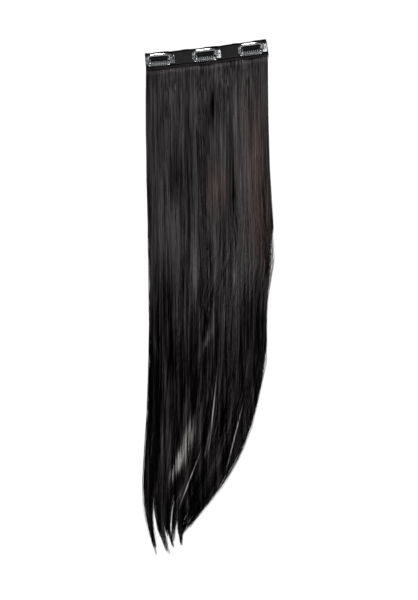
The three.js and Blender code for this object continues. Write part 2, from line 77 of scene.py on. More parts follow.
def colour(name, description, hex_colour):
    return FloatVectorProperty(
        name=name,
        description=description,
        default=linear(hex_colour),
        subtype="COLOR",
        min=0,
        max=1,
    )


class BandSizes(PropertyGroup):
    length: distance("Length", "Length of the sewn band", 136.4)
    tilt: FloatProperty(
        name="Tilt",
        description="How far the band lies askew of the hair",
        default=math.radians(6.7),
        subtype="ANGLE",
    )
    sag: distance("Sag", "How far the band's middle lies below a line through its ends", 1.2)
    tape_width: distance("Tape width", "Width of the hemmed tape", 17)
    tape_thickness: distance("Tape thickness", "Thickness of the tape", 1.2)
    hem_width: distance("Hem width", "Width of the folded hems", 1.7)
    hem_rise: distance("Hem rise", "How far the hems stand above the tape", 0.3)
    weft_thickness: distance("Weft thickness", "Thickness of the stitched weft", 1.6)
    weft_reveal: distance("Weft reveal", "Stitched weft showing below the tape", 1.4)
    weft_inset: distance("Weft inset", "From the weft's upper edge to the tape's", 1.5)
    layer_gap: distance("Layer gap", "Thread thickness between the sewn layers", 0.3)
    stitch_pitch: distance("Stitch pitch", "From one machine stitch to the next", 2.4)
    thread_width: distance("Thread width", "Width of the sewing thread, as drawn", 0.36)


class HairSizes(PropertyGroup):
    drop: distance("Drop", "How far the hair falls from the band", 538)
    root_tuck: distance("Root tuck", "How far above the tape's lower edge the locks start", 1)
    lock_thickness: distance("Lock thickness", "Thickness of the lowest layer's locks", 3.3)
    root_thickness: distance("Root thickness", "Thickness of a lock in the weft", 1.4)
    floor_clearance: distance("Clearance", "From the surface to the lowest strands", 0.05)
    strand_width: distance("Strand width", "Width of a strand, as drawn", 0.46)
    strands: IntProperty(name="Strands", description="Strands in each piece", default=2300)
    wisp_width: distance("Wisp width", "Width of the wisps that strands gather into", 3.4)


class ClipSizes(PropertyGroup):
    length: distance("Length", "Length of a snap comb", 32)
    width: distance("Width", "Width of a snap comb", 13)
    end_margin: distance("End margin", "From the band's end to the outermost comb", 0.7)
    steel: distance("Steel", "Thickness of the pressed steel", 0.6)
    arm_width: distance("Arm width", "Width of the ring's strip", 3.6)
    arm_crown: distance("Arm crown", "How far the strip is domed", 0.5)
    arch_rise: distance("Arch", "How far the comb bows up along its length", 1.4)
    corner_radius: distance("Corner", "Radius at the middle of the strip's corners", 3.2)
    tab_reach: distance("Tab reach", "How far the tab stands past the ring", 3)
    pin_radius: distance("Pin radius", "Radius of the pin", 0.45)
    sleeve_radius: distance("Sleeve radius", "Radius of the silicone sleeve", 1.8)


class Finishes(PropertyGroup):
    # The deep hair colour is painted shade. The darkened lower half, the shaded patches and
    # strands deep in a lock fall to it, as do strands that are darker by chance.
    hair_dark: colour("Hair, deep", "Hair between the wisps and at the ends", "#0d0b0c")
    hair_mid: colour("Hair", "Most strands", "#2a2627")
    hair_light: colour("Hair, lit", "Strands that catch the light", "#534e4f")
    # A painted highlight: the colour that glinting wisps and fanned strands are lightened to,
    # standing in for light they mirror.
    hair_painted_glint: colour("Hair, glint", "Proud wisps that mirror the light", "#b3b0ad")
    hair_warm: colour("Hair, warm", "Tint of the brownish streaks", "#ffe6dc")
    tape: colour("Tape", "Woven tape", "#343233")
    thread: colour("Thread", "Sewing thread", "#171516")
    steel: colour("Steel", "Plated steel", "#b0b2b4")
    silicone: colour("Silicone", "Moulded sleeve", "#080809")
    floor: colour("Floor", "Studio floor", "#f7f7f7")


# The weft's outline. down: share of the drop. left, right: the edges, in half band lengths.
Edge = namedtuple("Edge", "down left right")
OUTLINE = [
    Edge(0.0, -1.0, 1.0),
    Edge(0.1, -0.99, 0.99),
    Edge(0.2, -0.975, 1.01),
    Edge(0.3, -0.96, 1.02),
    Edge(0.4, -0.95, 1.13),
    Edge(0.5, -0.95, 0.94),
    Edge(0.6, -0.965, 0.98),
    Edge(0.7, -1.0, 0.85),
    Edge(0.8, -1.035, 0.625),
    Edge(0.9, -1.055, 0.18),
    Edge(1.0, -1.0, -0.39),
]

# Stations along a lock. share: of its length. width, thickness: of the lock's own. lift: of
# its layer's height.
Station = namedtuple("Station", "share width thickness lift")
STATIONS = [
    Station(0.0, 0.9, 0, 0),
    Station(0.014, 0.92, 0.05, 0.02),
    Station(0.04, 0.95, 0.45, 0.4),
    Station(0.09, 1, 0.9, 0.85),
    Station(0.18, 1, 1, 1),
    Station(0.3, 1, 1, 1),
    Station(0.42, 1.02, 1, 0.95),
    Station(0.53, 1, 1, 0.9),
    Station(0.65, 0.98, 0.95, 0.8),
    Station(0.76, 0.88, 0.85, 0.6),
    Station(0.87, 0.76, 0.65, 0.3),
    Station(0.945, 0.42, 0.45, 0.12),
    Station(1.0, 0, 0, 0),
]

# Layers of locks, from the surface up. height: of the middle of its locks, and thickness, in
# lock thicknesses. root: thickness under the tape, in root thicknesses.
Layer = namedtuple("Layer", "height thickness root")
LAYERS = [
    Layer(0.52, 1.0, 1.0),
    Layer(1.12, 0.9, 0.92),
    Layer(1.68, 0.75, 0.84),
    Layer(2.15, 0.75, 0.76),
]

# Locks. at: share across the band. reach: share of the drop. width, sway, cross, hook in
# shares of the band's length: sway bows the lock from side to side, cross carries it over its
# neighbours, and hook bends its tip sideways. piece: the mesh that holds its strands.
Lock = namedtuple("Lock", "piece at layer reach width sway cross hook")
LOCKS = [
    Lock("hair_under_left", 0.08, 0, 1.01, 0.17, -0.006, 0, 0.06),
    Lock("hair_under_left", 0.2, 0, 1.02, 0.18, 0.008, 0, 0.12),
    Lock("hair_under_left", 0.33, 0, 1.0, 0.18, -0.01, 0, 0.1),
    Lock("hair_under_left", 0.45, 0, 1.0, 0.18, 0.006, 0, 0.07),
    Lock("hair_under_right", 0.57, 0, 1.005, 0.18, -0.006, 0, 0.1),
    Lock("hair_under_right", 0.69, 0, 0.98, 0.18, 0.01, 0, 0.02),
    Lock("hair_under_right", 0.81, 0, 1.0, 0.18, -0.004, 0, 0.02),
    Lock("hair_under_right", 0.92, 0, 1.0, 0.16, 0, 0, 0.01),
    Lock("hair_middle_left", 0.13, 1, 0.93, 0.14, 0.012, 0, 0.05),
    Lock("hair_middle_left", 0.27, 1, 0.99, 0.13, -0.012, 0, 0.1),
    Lock("hair_middle_left", 0.4, 1, 0.9, 0.14, 0.014, 0, -0.02),
    Lock("hair_middle_left", 0.52, 1, 1.0, 0.13, 0.01, 0, 0.1),
    Lock("hair_middle_right", 0.65, 1, 0.91, 0.14, -0.014, 0, 0.03),
    Lock("hair_middle_right", 0.77, 1, 0.95, 0.13, 0.012, 0, 0.06),
    Lock("hair_middle_right", 0.885, 1, 0.9, 0.13, -0.008, 0, -0.02),
    Lock("hair_top", 0.2, 2, 0.84, 0.1, -0.02, 0, 0.03),
    Lock("hair_top", 0.45, 2, 0.88, 0.1, 0.014, 0.06, -0.04),
    Lock("hair_top", 0.83, 2, 0.87, 0.09, -0.016, -0.03, -0.03),
    Lock("hair_top", 0.64, 3, 0.84, 0.09, 0.01, -0.2, 0.04),
]
HOOK_START = 0.8  # share of a lock's length where its tip begins to hook
HOOK_SHARPNESS = 3.5
TIP_CURL = 1.35  # how much further the loose strands hook than the lock's middle
TIP_SPREAD = 0.4  # share of a lock's width that its strands keep at its tip
TIP_POINT = 0.035  # how much shorter the wisps at a lock's sides are
SWAY_WAVES = 1.2
SWAY_START = 0.3  # share of the length over which the sway grows to its full size
CROSS_START = 0.35  # shares of the length between which a lock crosses the others
CROSS_END = 0.75
ROOT_TURN = 0.12  # share of the length over which a lock turns square to its path
CLOSEST_GATHER = 0.4
PATH_STEP = 0.01
TIP_WIDTH = 0.9 * MM
TIP_THICKNESS = 0.5 * MM


def band():
    return bpy.context.scene.weft_band


def hair():
    return bpy.context.scene.weft_hair


def clip():
    return bpy.context.scene.weft_clip


def finishes():
    return bpy.context.scene.weft_finishes


# Working by hand: selecting, editing and finishing


def only(piece):
    """Selects this piece alone and makes it active."""
    bpy.ops.object.select_all(action="DESELECT")
    piece.select_set(True)
    bpy.context.view_layer.objects.active = piece


@contextmanager
def editing(piece):
    """Edit mode on this piece, with all of it selected."""
    only(piece)
    bpy.ops.object.mode_set(mode="EDIT")
    bpy.ops.mesh.select_all(action="SELECT")
    yield
    bpy.ops.object.mode_set(mode="OBJECT")


def pick(kind, test):
    """In edit mode, selects only the vertices, edges or faces whose middle passes the test."""
    bpy.ops.mesh.select_mode(type=kind)
    bpy.ops.mesh.select_all(action="DESELECT")
    mesh = bmesh.from_edit_mesh(bpy.context.object.data)
    found = {"VERT": mesh.verts, "EDGE": mesh.edges, "FACE": mesh.faces}[kind]
    for element in found:
        corners = [element] if kind == "VERT" else element.verts
        middle = sum((v.co for v in corners), Vector()) / len(corners)
        if test(middle):
            element.select_set(True)
    bmesh.update_edit_mesh(bpy.context.object.data)


def extrude(by):
    """In edit mode, extrudes what is selected this far."""
    bpy.ops.mesh.extrude_region_move(TRANSFORM_OT_translate={"value": by})


def face_outward():
    """In edit mode, turns all faces outward."""
    bpy.ops.mesh.select_all(action="SELECT")
    bpy.ops.mesh.normals_make_consistent(inside=False)


def slice_all(place, normal):
    """In edit mode, cuts all faces along a plane."""
    bpy.ops.mesh.select_all(action="SELECT")
    bpy.ops.mesh.bisect(plane_co=place, plane_no=normal, threshold=1e-7)


def modify(piece, kind, **settings):
    """Finishes the piece with a modifier, applied."""
    only(piece)
    modifier = piece.modifiers.new(kind.lower(), kind)
    for name, value in settings.items():
        setattr(modifier, name, value)
    bpy.ops.object.modifier_apply(modifier=modifier.name)


def bevel(piece, width, segments=2, degrees=50):
    """Rounds the edges that turn by more than this."""
    angle = math.radians(degrees)
    modify(piece, "BEVEL", width=width, segments=segments, limit_method="ANGLE", angle_limit=angle)


def repeat(piece, count, pitch):
    """Repeats the piece along X."""
    modify(
        piece,
        "ARRAY",
        count=count,
        use_relative_offset=False,
        use_constant_offset=True,
        constant_offset_displace=(pitch, 0, 0),
    )


def cut_out(piece, cutter):
    modify(piece, "BOOLEAN", operation="DIFFERENCE", solver="EXACT", object=cutter)
    bpy.data.objects.remove(cutter)


def weld(pieces):
    """Makes one closed body of several that overlap."""
    whole = pieces[0]
    for piece in pieces[1:]:
        modify(whole, "BOOLEAN", operation="UNION", solver="EXACT", object=piece)
        bpy.data.objects.remove(piece)
    return whole


def join(pieces):
    only(pieces[0])
    for piece in pieces:
        piece.select_set(True)
    bpy.ops.object.join()
    return pieces[0]


def settle_place(piece):
    """Puts the object's place, turn and scale into its mesh."""
    only(piece)
    bpy.ops.object.transform_apply(location=True, rotation=True, scale=True)


def soften(piece, degrees=35):
    """Smooth shading, but for edges sharper than this."""
    only(piece)
    bpy.ops.object.shade_smooth_by_angle(angle=math.radians(degrees))


def even_shine(piece, degrees=40):
    """Smooth shading whose flat faces mirror flatly, and only their bevels turn."""
    soften(piece, degrees)
    modify(piece, "WEIGHTED_NORMAL", keep_sharp=True)


def add_part(add, **settings):
    """Adds a primitive and puts its turn and size into its mesh."""
    bpy.ops.object.select_all(action="DESELECT")
    add(**settings)
    part = bpy.context.object
    settle_place(part)
    return part


def cylinder(vertices, radius, depth, location, rotation=(0, 0, 0)):
    return add_part(
        bpy.ops.mesh.primitive_cylinder_add,
        vertices=vertices,
        radius=radius,
        depth=depth,
        location=location,
        rotation=rotation,
    )


def plate(width, height, location, rotation=(0, 0, 0)):
    """A flat rectangle to build on."""
    bpy.ops.object.select_all(action="DESELECT")
    bpy.ops.mesh.primitive_plane_add(size=1, location=location, rotation=rotation)
    part = bpy.context.object
    part.scale = (width, height, 1)
    settle_place(part)
    return part


def finish_piece(piece, name, body, finish, replaced=()):
    """Names the piece, gives it its material, says what it rides on, and hides the parts that it
    stands for.
    """
    piece.name = name
    piece.data.name = name
    piece.data.materials.clear()
    piece.data.materials.append(finish)
    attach(piece, body)
    if replaced:
        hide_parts(*replaced)


# Materials


def rgba(rgb):
    return (*rgb, 1.0)


def add_node(tree, kind, settings=None, links=None, stops=(), out=0):
    """Adds a node, with its inputs and properties set by name or number, its links made, and a
    colour ramp's (place, colour) stops filled in. Gives the output of this name or number."""
    node = tree.nodes.new("ShaderNode" + kind)
    for i, (place, rgb) in enumerate(stops):
        elements = node.color_ramp.elements
        stop = elements[i] if i < len(elements) else elements.new(place)
        stop.position = place
        stop.color = rgba(rgb)
    for name, value in (settings or {}).items():
        if isinstance(name, int) or name in node.inputs:
            node.inputs[name].default_value = value
        else:
            setattr(node, name, value)
    for name, output in (links or {}).items():
        tree.links.new(output, node.inputs[name])
    return node.outputs[out]


def material(name, add_shader, *settings):
    """The material of this name. The first time, it is made with the shader that the function
    adds to it, with add for its nodes and the places in the object's own space."""
    made = bpy.data.materials.get(name)
    if made is None:
        made = bpy.data.materials.new(name)
        made.use_nodes = True
        tree = made.node_tree
        tree.nodes.clear()
        add = partial(add_node, tree)
        shader = add_shader(add, add("TexCoord", out="Object"), *settings)
        output = tree.nodes.new("ShaderNodeOutputMaterial")
        tree.links.new(shader, output.inputs["Surface"])
    return made


# Patches of light and shade on the hair. x, y: the middle, and wide, long: half sizes, in mm.
# turn: degrees. strength: of tone, from -1, black, to 1, lit.
Patch = namedtuple("Patch", "x y wide long turn strength")
PATCHES = [
    Patch(6.5, -58, 6, 44, 0, -0.75),
    Patch(-34, -138, 22, 62, 0, -0.36),
    Patch(-12, -90, 26, 70, 0, -0.1),
    Patch(47, -128, 36, 130, 0, 0.3),
    Patch(13, -148, 17, 44, 0, 0.27),
    Patch(30, -150, 1.6, 70, 0, -0.5),
    Patch(-13, -245, 10, 80, 0, 0.38),
    Patch(11, -228, 9, 70, 0, 0.3),
    Patch(-1, -320, 8, 46, -25, 0.5),
    Patch(-23, -392, 6, 46, -9, 0.3),
    Patch(-30, -307, 3, 42, 0, 0.45),
    Patch(-56, -325, 5, 40, 10, 0.4),
    Patch(31, -244, 6, 44, 0, 0.2),
    Patch(-65, -240, 7, 44, 0, 0.22),
    Patch(-44, -265, 11, 70, 0, -0.35),
    Patch(-57, -250, 1.5, 36, 0, -0.6),
    Patch(-26, -255, 2.4, 42, 0, -0.6),
    Patch(-1, -292, 3, 24, 12, -0.5),
    Patch(19, -230, 1.6, 55, 0, -0.45),
    Patch(46, -276, 8, 60, 0, -0.25),
    Patch(-39, -330, 9, 50, 0, -0.3),
    Patch(-12, -445, 46, 62, -16, 0.2),
]

# Three more sets of patches: painted highlights along single wisps, painted highlights where the
# strands fan out, and the brownish streaks. Their strengths are before each strand takes its own
# share.
PAINTED_GLINTS = [
    Patch(21, -275, 1.0, 60, -3, 0.9),
    Patch(7.5, -394, 1.3, 72, -6, 3.0),
    Patch(31, -425, 1.3, 64, -14, 3.6),
    Patch(1, -430, 1.0, 38, -11, 1.5),
    Patch(-18, -470, 1.4, 52, -21, 3.6),
]
PAINTED_FANNED_HIGHLIGHTS = [
    Patch(-21, -430, 9.5, 44, -14, 6),
    Patch(-33.5, -456, 7, 32, -16, 6),
    Patch(-30, -490, 4, 24, -20, 1.2),
]
WARM = [
    Patch(52, -125, 24, 120, 0, 4),
    Patch(62, -195, 14, 90, 0, 4),
    Patch(12, -148, 20, 40, 0, 4),
]


def add_patches(add, place, patches, total=None):
    """Adds soft oval patches, each centred and turned by its own mapping, to a value."""
    for patch in patches:
        mapped = add(
            "Mapping",
            {
                "vector_type": "TEXTURE",
                "Location": (patch.x * MM, patch.y * MM, 0),
                "Rotation": (0, 0, math.radians(patch.turn)),
                "Scale": (patch.wide * MM, patch.long * MM, 1),
            },
            {"Vector": place},
        )
        oval = add(
            "TexGradient", {"gradient_type": "QUADRATIC_SPHERE"}, {"Vector": mapped}, out="Fac"
        )
        links = {0: oval}
        settings = {"operation": "MULTIPLY_ADD", 1: patch.strength, 2: 0.0}
        if total is not None:
            links[2] = total
        total = add("Math", settings, links)
    return total


def hair_streaks(add, place, across, along):
    """Streaks this far apart across the hair and this long, from 0 to 1 about a half."""
    stretched = add("Mapping", {"Scale": (1 / across, 1 / along, 1 / across)}, {"Vector": place})
    return add("TexNoise", {"Scale": 1.0, "Detail": 2.0, "Roughness": 0.6}, {"Vector": stretched})


def hair_shader(add, place):
    """Dyed black fibre, steamed straight: a smooth round fibre gives a soft grey sheen across
    the strands where light stands square to them, over a nearly black body. Its colour also
    carries painted light and shade: lit and shaded patches, painted glints, and a lower half
    darkened towards black."""
    look = finishes()
    tone = add("Attribute", {"attribute_name": "tone"}, out="Fac")
    tone = add_patches(add, place, PATCHES, tone)
    # Strands lie in wisps 5 mm and 1.5 mm apart. A single fibre is too fine to show. The upper
    # hair is combed smooth, and the wisps stand out more further down.
    along = add("SeparateXYZ", links={"Vector": place}, out="Y")
    wisps = hair_streaks(add, place, 5 * MM, 240 * MM)
    strands = hair_streaks(add, place, 1.5 * MM, 110 * MM)
    for streaks, below, above in ((wisps, 1.45, 0.5), (strands, 1.25, 1.0)):
        contrast = add(
            "MapRange",
            {"From Min": -0.32, "From Max": -0.18, "To Min": below, "To Max": above},
            {"Value": along},
        )
        centred = add("Math", {"operation": "SUBTRACT", 1: 0.5}, {0: streaks})
        tone = add("Math", {"operation": "MULTIPLY_ADD"}, {0: centred, 1: contrast, 2: tone})
    # Painted shade: the lower half, which hangs away from the light, is darkened in the colour to
    # nearly black.
    ends = add(
        "MapRange",
        {
            "interpolation_type": "SMOOTHSTEP",
            "From Min": -0.35,
            "From Max": -0.22,
            "To Min": -0.39,
            "To Max": -0.02,
        },
        {"Value": along},
    )
    tone = add("Math", {"operation": "ADD"}, {0: tone, 1: ends})
    # Painted highlights: single wisps, and the place where they fan out, are lightened in the
    # colour strand by strand, as if they mirrored the softbox.
    for patches, low, high in ((PAINTED_GLINTS, 0.2, 0.55), (PAINTED_FANNED_HIGHLIGHTS, 0.47, 0.64)):
        lit = add("MapRange", {"From Min": low, "From Max": high}, {"Value": strands})
        tone = add(
            "Math",
            {"operation": "MULTIPLY_ADD"},
            {0: add_patches(add, place, patches), 1: lit, 2: tone},
        )
    halved = add("Math", {"operation": "MULTIPLY", 1: 0.5}, {0: tone})
    body = add(
        "ValToRGB",
        links={"Fac": halved},
        stops=[
            (0.0, [0.4 * c for c in look.hair_dark]),
            (0.12, look.hair_dark),
            (0.25, look.hair_mid),
            (0.45, look.hair_light),
            (0.95, look.hair_painted_glint),
        ],
    )
    # The specular level follows the same tone, so the painted light and shade also raise and dim
    # the shine.
    shine = add(
        "MapRange",
        {"From Min": 0.08, "From Max": 0.5, "To Min": 0.0, "To Max": 0.6},
        {"Value": halved},
    )
    warmth = add_patches(add, place, WARM)
    warm = add("Math", {"operation": "MULTIPLY", "use_clamp": True}, {0: warmth, 1: strands})
    mixed = add(
        "Mix",
        {"data_type": "RGBA", "blend_type": "MULTIPLY", 7: rgba(look.hair_warm)},
        {0: warm, 6: body},
        out=2,
    )
    rough = add("MapRange", {"To Min": 0.34, "To Max": 0.5}, {"Value": strands})
    return add(
        "BsdfPrincipled",
        {"IOR": 1.55},
        {"Base Color": mixed, "Roughness": rough, "Specular IOR Level": shine},
    )


def track_shader(add, place):
    """The hair's folded ends pressed flat and sewn: close ribs of fibre, dull with stitching
    thread and glue. The fibres are drawn 0.8 mm wide, so that they show."""
    look = finishes()
    turned = add(
        "Mapping", {"Rotation": (0, 0, -band().tilt), "Scale": (1, 0.1, 0.3)}, {"Vector": place}
    )
    ribs = add("TexNoise", {"Scale": 1 / (0.8 * MM), "Detail": 2.0}, {"Vector": turned})
    body = add(
        "ValToRGB", links={"Fac": ribs}, stops=[(0.3, look.hair_mid), (0.75, look.hair_light)]
    )
    bump = add("Bump", {"Strength": 0.8, "Distance": 0.2 * MM}, {"Height": ribs})
    return add(
        "BsdfPrincipled",
        {"Roughness": 0.7, "Specular IOR Level": 0.25},
        {"Base Color": body, "Normal": bump},
    )


def weave_bump(add, place, thread, strength):
    """A plain weave: two crossed waves, one thread apart, as a bump."""
    settings = {"Scale": math.pi / 10 / thread, "Distortion": 0.6, "Detail": 1.0}
    across, along = (
        add("TexWave", {"bands_direction": way, **settings}, {"Vector": place}, out="Fac")
        for way in ("X", "Y")
    )
    crossed = add("Math", {"operation": "MAXIMUM"}, {0: across, 1: along})
    bump = add("Bump", {"Strength": strength, "Distance": 0.1 * MM}, {"Height": crossed})
    return crossed, bump


def tape_shader(add, place):
    """Polyester tape in a plain weave: matt threads, with a painted sheen that lightens their
    crowns and painted shade that darkens the hollows between them. The threads are 0.25 mm in life
    and drawn 0.8 mm wide, so that they show."""
    look = finishes()
    threads, normal = weave_bump(add, place, 0.8 * MM, 0.6)
    lint = add("TexNoise", {"Scale": 260.0, "Detail": 3.0}, {"Vector": place})
    # Painted sheen and shade: the weave's crowns are lightened and its hollows darkened in the
    # colour, mottled by lint.
    shade = add("Math", {"operation": "MULTIPLY"}, {0: threads, 1: lint})
    dark = [0.55 * c for c in look.tape]
    light = [1.7 * c for c in look.tape]
    cloth = add(
        "ValToRGB", links={"Fac": shade}, stops=[(0.0, dark), (0.3, look.tape), (0.8, light)]
    )
    # The hems are painted shade: darkened nearly to black, as folded under in their own shadow,
    # with a lighter line along the outer fold. The attribute runs from 0 along the tape's middle
    # to
    # 1 along its edges.
    across = add("Attribute", {"attribute_name": "across"}, out="Fac")
    hem = 1 - 2 * band().hem_width / band().tape_width
    shadow = [0.04] * 3
    hems = add(
        "ValToRGB",
        links={"Fac": across},
        stops=[(hem - 0.03, [1] * 3), (hem, shadow), (0.93, shadow), (0.96, [0.6] * 3)],
    )
    body = add(
        "Mix", {"data_type": "RGBA", "blend_type": "MULTIPLY", 0: 1.0}, {6: cloth, 7: hems}, out=2
    )
    return add(
        "BsdfPrincipled",
        {"Roughness": 0.9, "Specular IOR Level": 0.05},
        {"Base Color": body, "Normal": normal},
    )


def thread_shader(add, place):
    """Spun polyester thread, waxed: black, twisted and dull, with a painted sheen that lightens
    each turn in the colour.
    """
    look = finishes()
    twist = add(
        "TexWave",
        {"bands_direction": "DIAGONAL", "Scale": math.pi / 10 / (0.35 * MM), "Distortion": 1.0},
        {"Vector": place},
        out="Fac",
    )
    # Painted sheen: each turn of the twist is lightened in the colour.
    light = [2.2 * c for c in look.thread]
    body = add("ValToRGB", links={"Fac": twist}, stops=[(0.1, look.thread), (0.9, light)])
    bump = add("Bump", {"Strength": 0.4, "Distance": 0.05 * MM}, {"Height": twist})
    return add(
        "BsdfPrincipled",
        {"Roughness": 0.6, "Specular IOR Level": 0.2},
        {"Base Color": body, "Normal": bump},
    )


def steel_shader(add, place, smoothest, roughest):
    """Sheet steel, pressed, nickel plated and tumbled: bright, with faint orange peel from the
    plating and hairline marks from tumbling. The longer it tumbles, the softer it mirrors."""
    look = finishes()
    peel = add("TexNoise", {"Scale": 420.0, "Detail": 2.0}, {"Vector": place})
    marks = add("TexNoise", {"Scale": 1800.0, "Detail": 4.0, "Distortion": 1.5}, {"Vector": place})
    dull = [0.62 * c for c in look.steel]
    body = add("ValToRGB", links={"Fac": peel}, stops=[(0.25, dull), (0.6, look.steel)])
    rough = add("MapRange", {"To Min": smoothest, "To Max": roughest}, {"Value": marks})
    bump = add("Bump", {"Strength": 0.12, "Distance": 0.05 * MM}, {"Height": peel})
    return add(
        "BsdfPrincipled",
        {"Metallic": 1.0},
        {"Base Color": body, "Roughness": rough, "Normal": bump},
    )


def silicone_shader(add, place):
    """Silicone rubber, moulded black: satin, slightly tacky, so it holds a little dust."""
    look = finishes()
    dust = add("TexNoise", {"Scale": 900.0, "Detail": 5.0}, {"Vector": place})
    dusty = [c + 0.012 for c in look.silicone]
    body = add("ValToRGB", links={"Fac": dust}, stops=[(0.5, look.silicone), (0.75, dusty)])
    rough = add("MapRange", {"To Min": 0.5, "To Max": 0.7}, {"Value": dust})
    return add(
        "BsdfPrincipled",
        {"IOR": 1.41, "Specular IOR Level": 0.1},
        {"Base Color": body, "Roughness": rough},
    )


def floor_shader(add, place):
    """A light table's opal acrylic, lit faintly from below, so that shadows stay pale."""
    grain = add("TexNoise", {"Scale": 90.0, "Detail": 3.0}, {"Vector": place})
    white = finishes().floor
    body = add(
        "ValToRGB", links={"Fac": grain}, stops=[(0.3, [0.985 * c for c in white]), (0.7, white)]
    )
    return add(
        "BsdfPrincipled",
        {"Roughness": 0.9, "Specular IOR Level": 0.1, "Emission Strength": 0.42},
        {"Base Color": body, "Emission Color": body},
    )


# The band's line


def band_place(along):
    """A place on the band's middle line: the point, and the band's angle there."""
    sizes = band()
    radius = (sizes.length / 2) ** 2 / (2 * sizes.sag)
    turn = along / radius
    x, y = radius * math.sin(turn), radius * (1 - math.cos(turn))
    cos, sin = math.cos(sizes.tilt), math.sin(sizes.tilt)
    return Vector((x * cos - y * sin, x * sin + y * cos, 0)), turn + sizes.tilt


def follow_band(piece):
    """Lays a piece that was made straight along X onto the band's line."""
    for vertex in piece.data.vertices:
        point, angle = band_place(vertex.co.x)
        across = Vector((-math.sin(angle), math.cos(angle), 0))
        vertex.co = point + across * vertex.co.y + Vector((0, 0, vertex.co.z))
    piece.data.update()


def tape_bottom():
    return band().weft_thickness + band().layer_gap


def clip_seat():
    return tape_bottom() + band().tape_thickness + band().layer_gap


BAND_CUTS = 24

# Waves that the hem's stitches draw the tape's edges into. length, depth: in mm. start: the
# wave's angle at the band's middle, in radians.
Pucker = namedtuple("Pucker", "length depth start")
PUCKERS = [Pucker(27, 0.3, 0.6), Pucker(11, 0.14, 2.0)]


def pucker(piece):
    """Draws a piece that was made straight along X into the tape's waves."""
    half = band().tape_width / 2
    for vertex in piece.data.vertices:
        wave = sum(
            row.depth * math.sin(2 * math.pi * vertex.co.x / (row.length * MM) + row.start)
            for row in PUCKERS
        )
        vertex.co.y += wave * MM * (vertex.co.y / half) ** 2
    piece.data.update()


def cut_along(piece, low, high, cuts):
    """Slices the piece at even steps along X, so that it can bend."""
    with editing(piece):
        for i in range(1, cuts):
            slice_all((low + (high - low) * i / cuts, 0, 0), (1, 0, 0))


# Sewn band


def make_tape():
    """The tape: a flat strip, hemmed along both edges, with the hems folded over."""
    sizes = band()
    bottom, top = tape_bottom(), tape_bottom() + sizes.tape_thickness
    tape = plate(sizes.length, sizes.tape_width, (0, 0, bottom))
    hem_line = sizes.tape_width / 2 - sizes.hem_width
    with editing(tape):
        extrude((0, 0, sizes.tape_thickness))
        for side in (-1, 1):
            slice_all((0, side * hem_line, 0), (0, 1, 0))
        for side in (-1, 1):
            pick("FACE", lambda m: abs(m.z - top) < 1e-6 and m.y * side > hem_line)
            extrude((0, 0, sizes.hem_rise))
    bevel(tape, 0.25 * MM, 3, 40)
    cut_along(tape, -sizes.length / 2, sizes.length / 2, BAND_CUTS * 2)
    across = tape.data.attributes.new("across", "FLOAT", "POINT")
    for vertex, value in zip(tape.data.vertices, across.data):
        value.value = abs(vertex.co.y) / (sizes.tape_width / 2)
    pucker(tape)
    follow_band(tape)
    soften(tape)
    cloth = material("woven_polyester_tape", tape_shader)
    finish_piece(tape, "woven_tape", "weft", cloth, ["cloth_tape"])
    return tape


def make_weft_head():
    """The stitched weft: the locks' folded ends sewn into a flat track."""
    sizes = band()
    low = -sizes.tape_width / 2 - sizes.weft_reveal
    high = sizes.tape_width / 2 - sizes.weft_inset
    head = plate(sizes.length, high - low, (0, (high + low) / 2, 0))
    with editing(head):
        extrude((0, 0, sizes.weft_thickness))
    modify(head, "BEVEL", width=0.45 * MM, segments=3)
    cut_along(head, -sizes.length / 2, sizes.length / 2, BAND_CUTS)
    follow_band(head)
    soften(head)
    track = material("sewn_hair_track", track_shader)
    finish_piece(head, "weft_head", "weft", track)
    return head


STITCH_LENGTH = 0.84  # of the pitch
STITCH_DIP = 0.15 * MM
STITCH_PINCH = 0.35


def make_stitch(length, width):
    """One machine stitch: a short thread, thick in the middle and pulled in at its ends."""
    stitch = cylinder(6, width / 2, length, (0, 0, 0), ALONG_X)
    with editing(stitch):
        for at in (-0.3, 0.3):
            slice_all((at * length, 0, 0), (1, 0, 0))
        for side in (-1, 1):
            pick("VERT", lambda m: m.x * side > 0.45 * length)
            end = (side * length / 2, 0, 0)
            bpy.ops.transform.resize(value=(1, STITCH_PINCH, STITCH_PINCH), center_override=end)
            bpy.ops.transform.translate(value=(0, 0, -STITCH_DIP))
    return stitch


# Rows of machine stitches. across: from the tape's middle line, in tape widths. level: which
# face of the band it shows on.
StitchRow = namedtuple("StitchRow", "across level")
STITCH_ROWS = [
    StitchRow(0.45, "hem"),
    StitchRow(-0.45, "hem"),
    StitchRow(-0.545, "reveal"),
    StitchRow(-0.51, "back"),
    StitchRow(-0.1, "back"),
    StitchRow(0.34, "back"),
]


def make_stitches():
    """The rows of machine stitches, each one stitch repeated along the band."""
    sizes = band()
    top = tape_bottom() + sizes.tape_thickness + sizes.hem_rise
    levels = {"hem": top, "reveal": sizes.weft_thickness, "back": 0}
    count = int(sizes.length / sizes.stitch_pitch)
    length = STITCH_LENGTH * sizes.stitch_pitch
    first = -(count - 1) / 2 * sizes.stitch_pitch
    rows = []
    for row in STITCH_ROWS:
        stitch = make_stitch(length, sizes.thread_width)
        facing = -1 if row.level == "back" else 1
        stitch.location = (first, row.across * sizes.tape_width, levels[row.level])
        stitch.scale = (1, 1, facing)
        settle_place(stitch)
        repeat(stitch, count, sizes.stitch_pitch)
        if facing < 0:
            with editing(stitch):
                face_outward()
        if row.level == "hem":
            pucker(stitch)
        follow_band(stitch)
        rows.append(stitch)
    stitches = join(rows)
    soften(stitches, 60)
    thread = material("spun_polyester_thread", thread_shader)
    finish_piece(stitches, "machine_stitches", "weft", thread)
    return stitches


# Hair


def smooth(low, high, x):
    t = np.clip((x - low) / (high - low), 0, 1)
    return t * t * (3 - 2 * t)


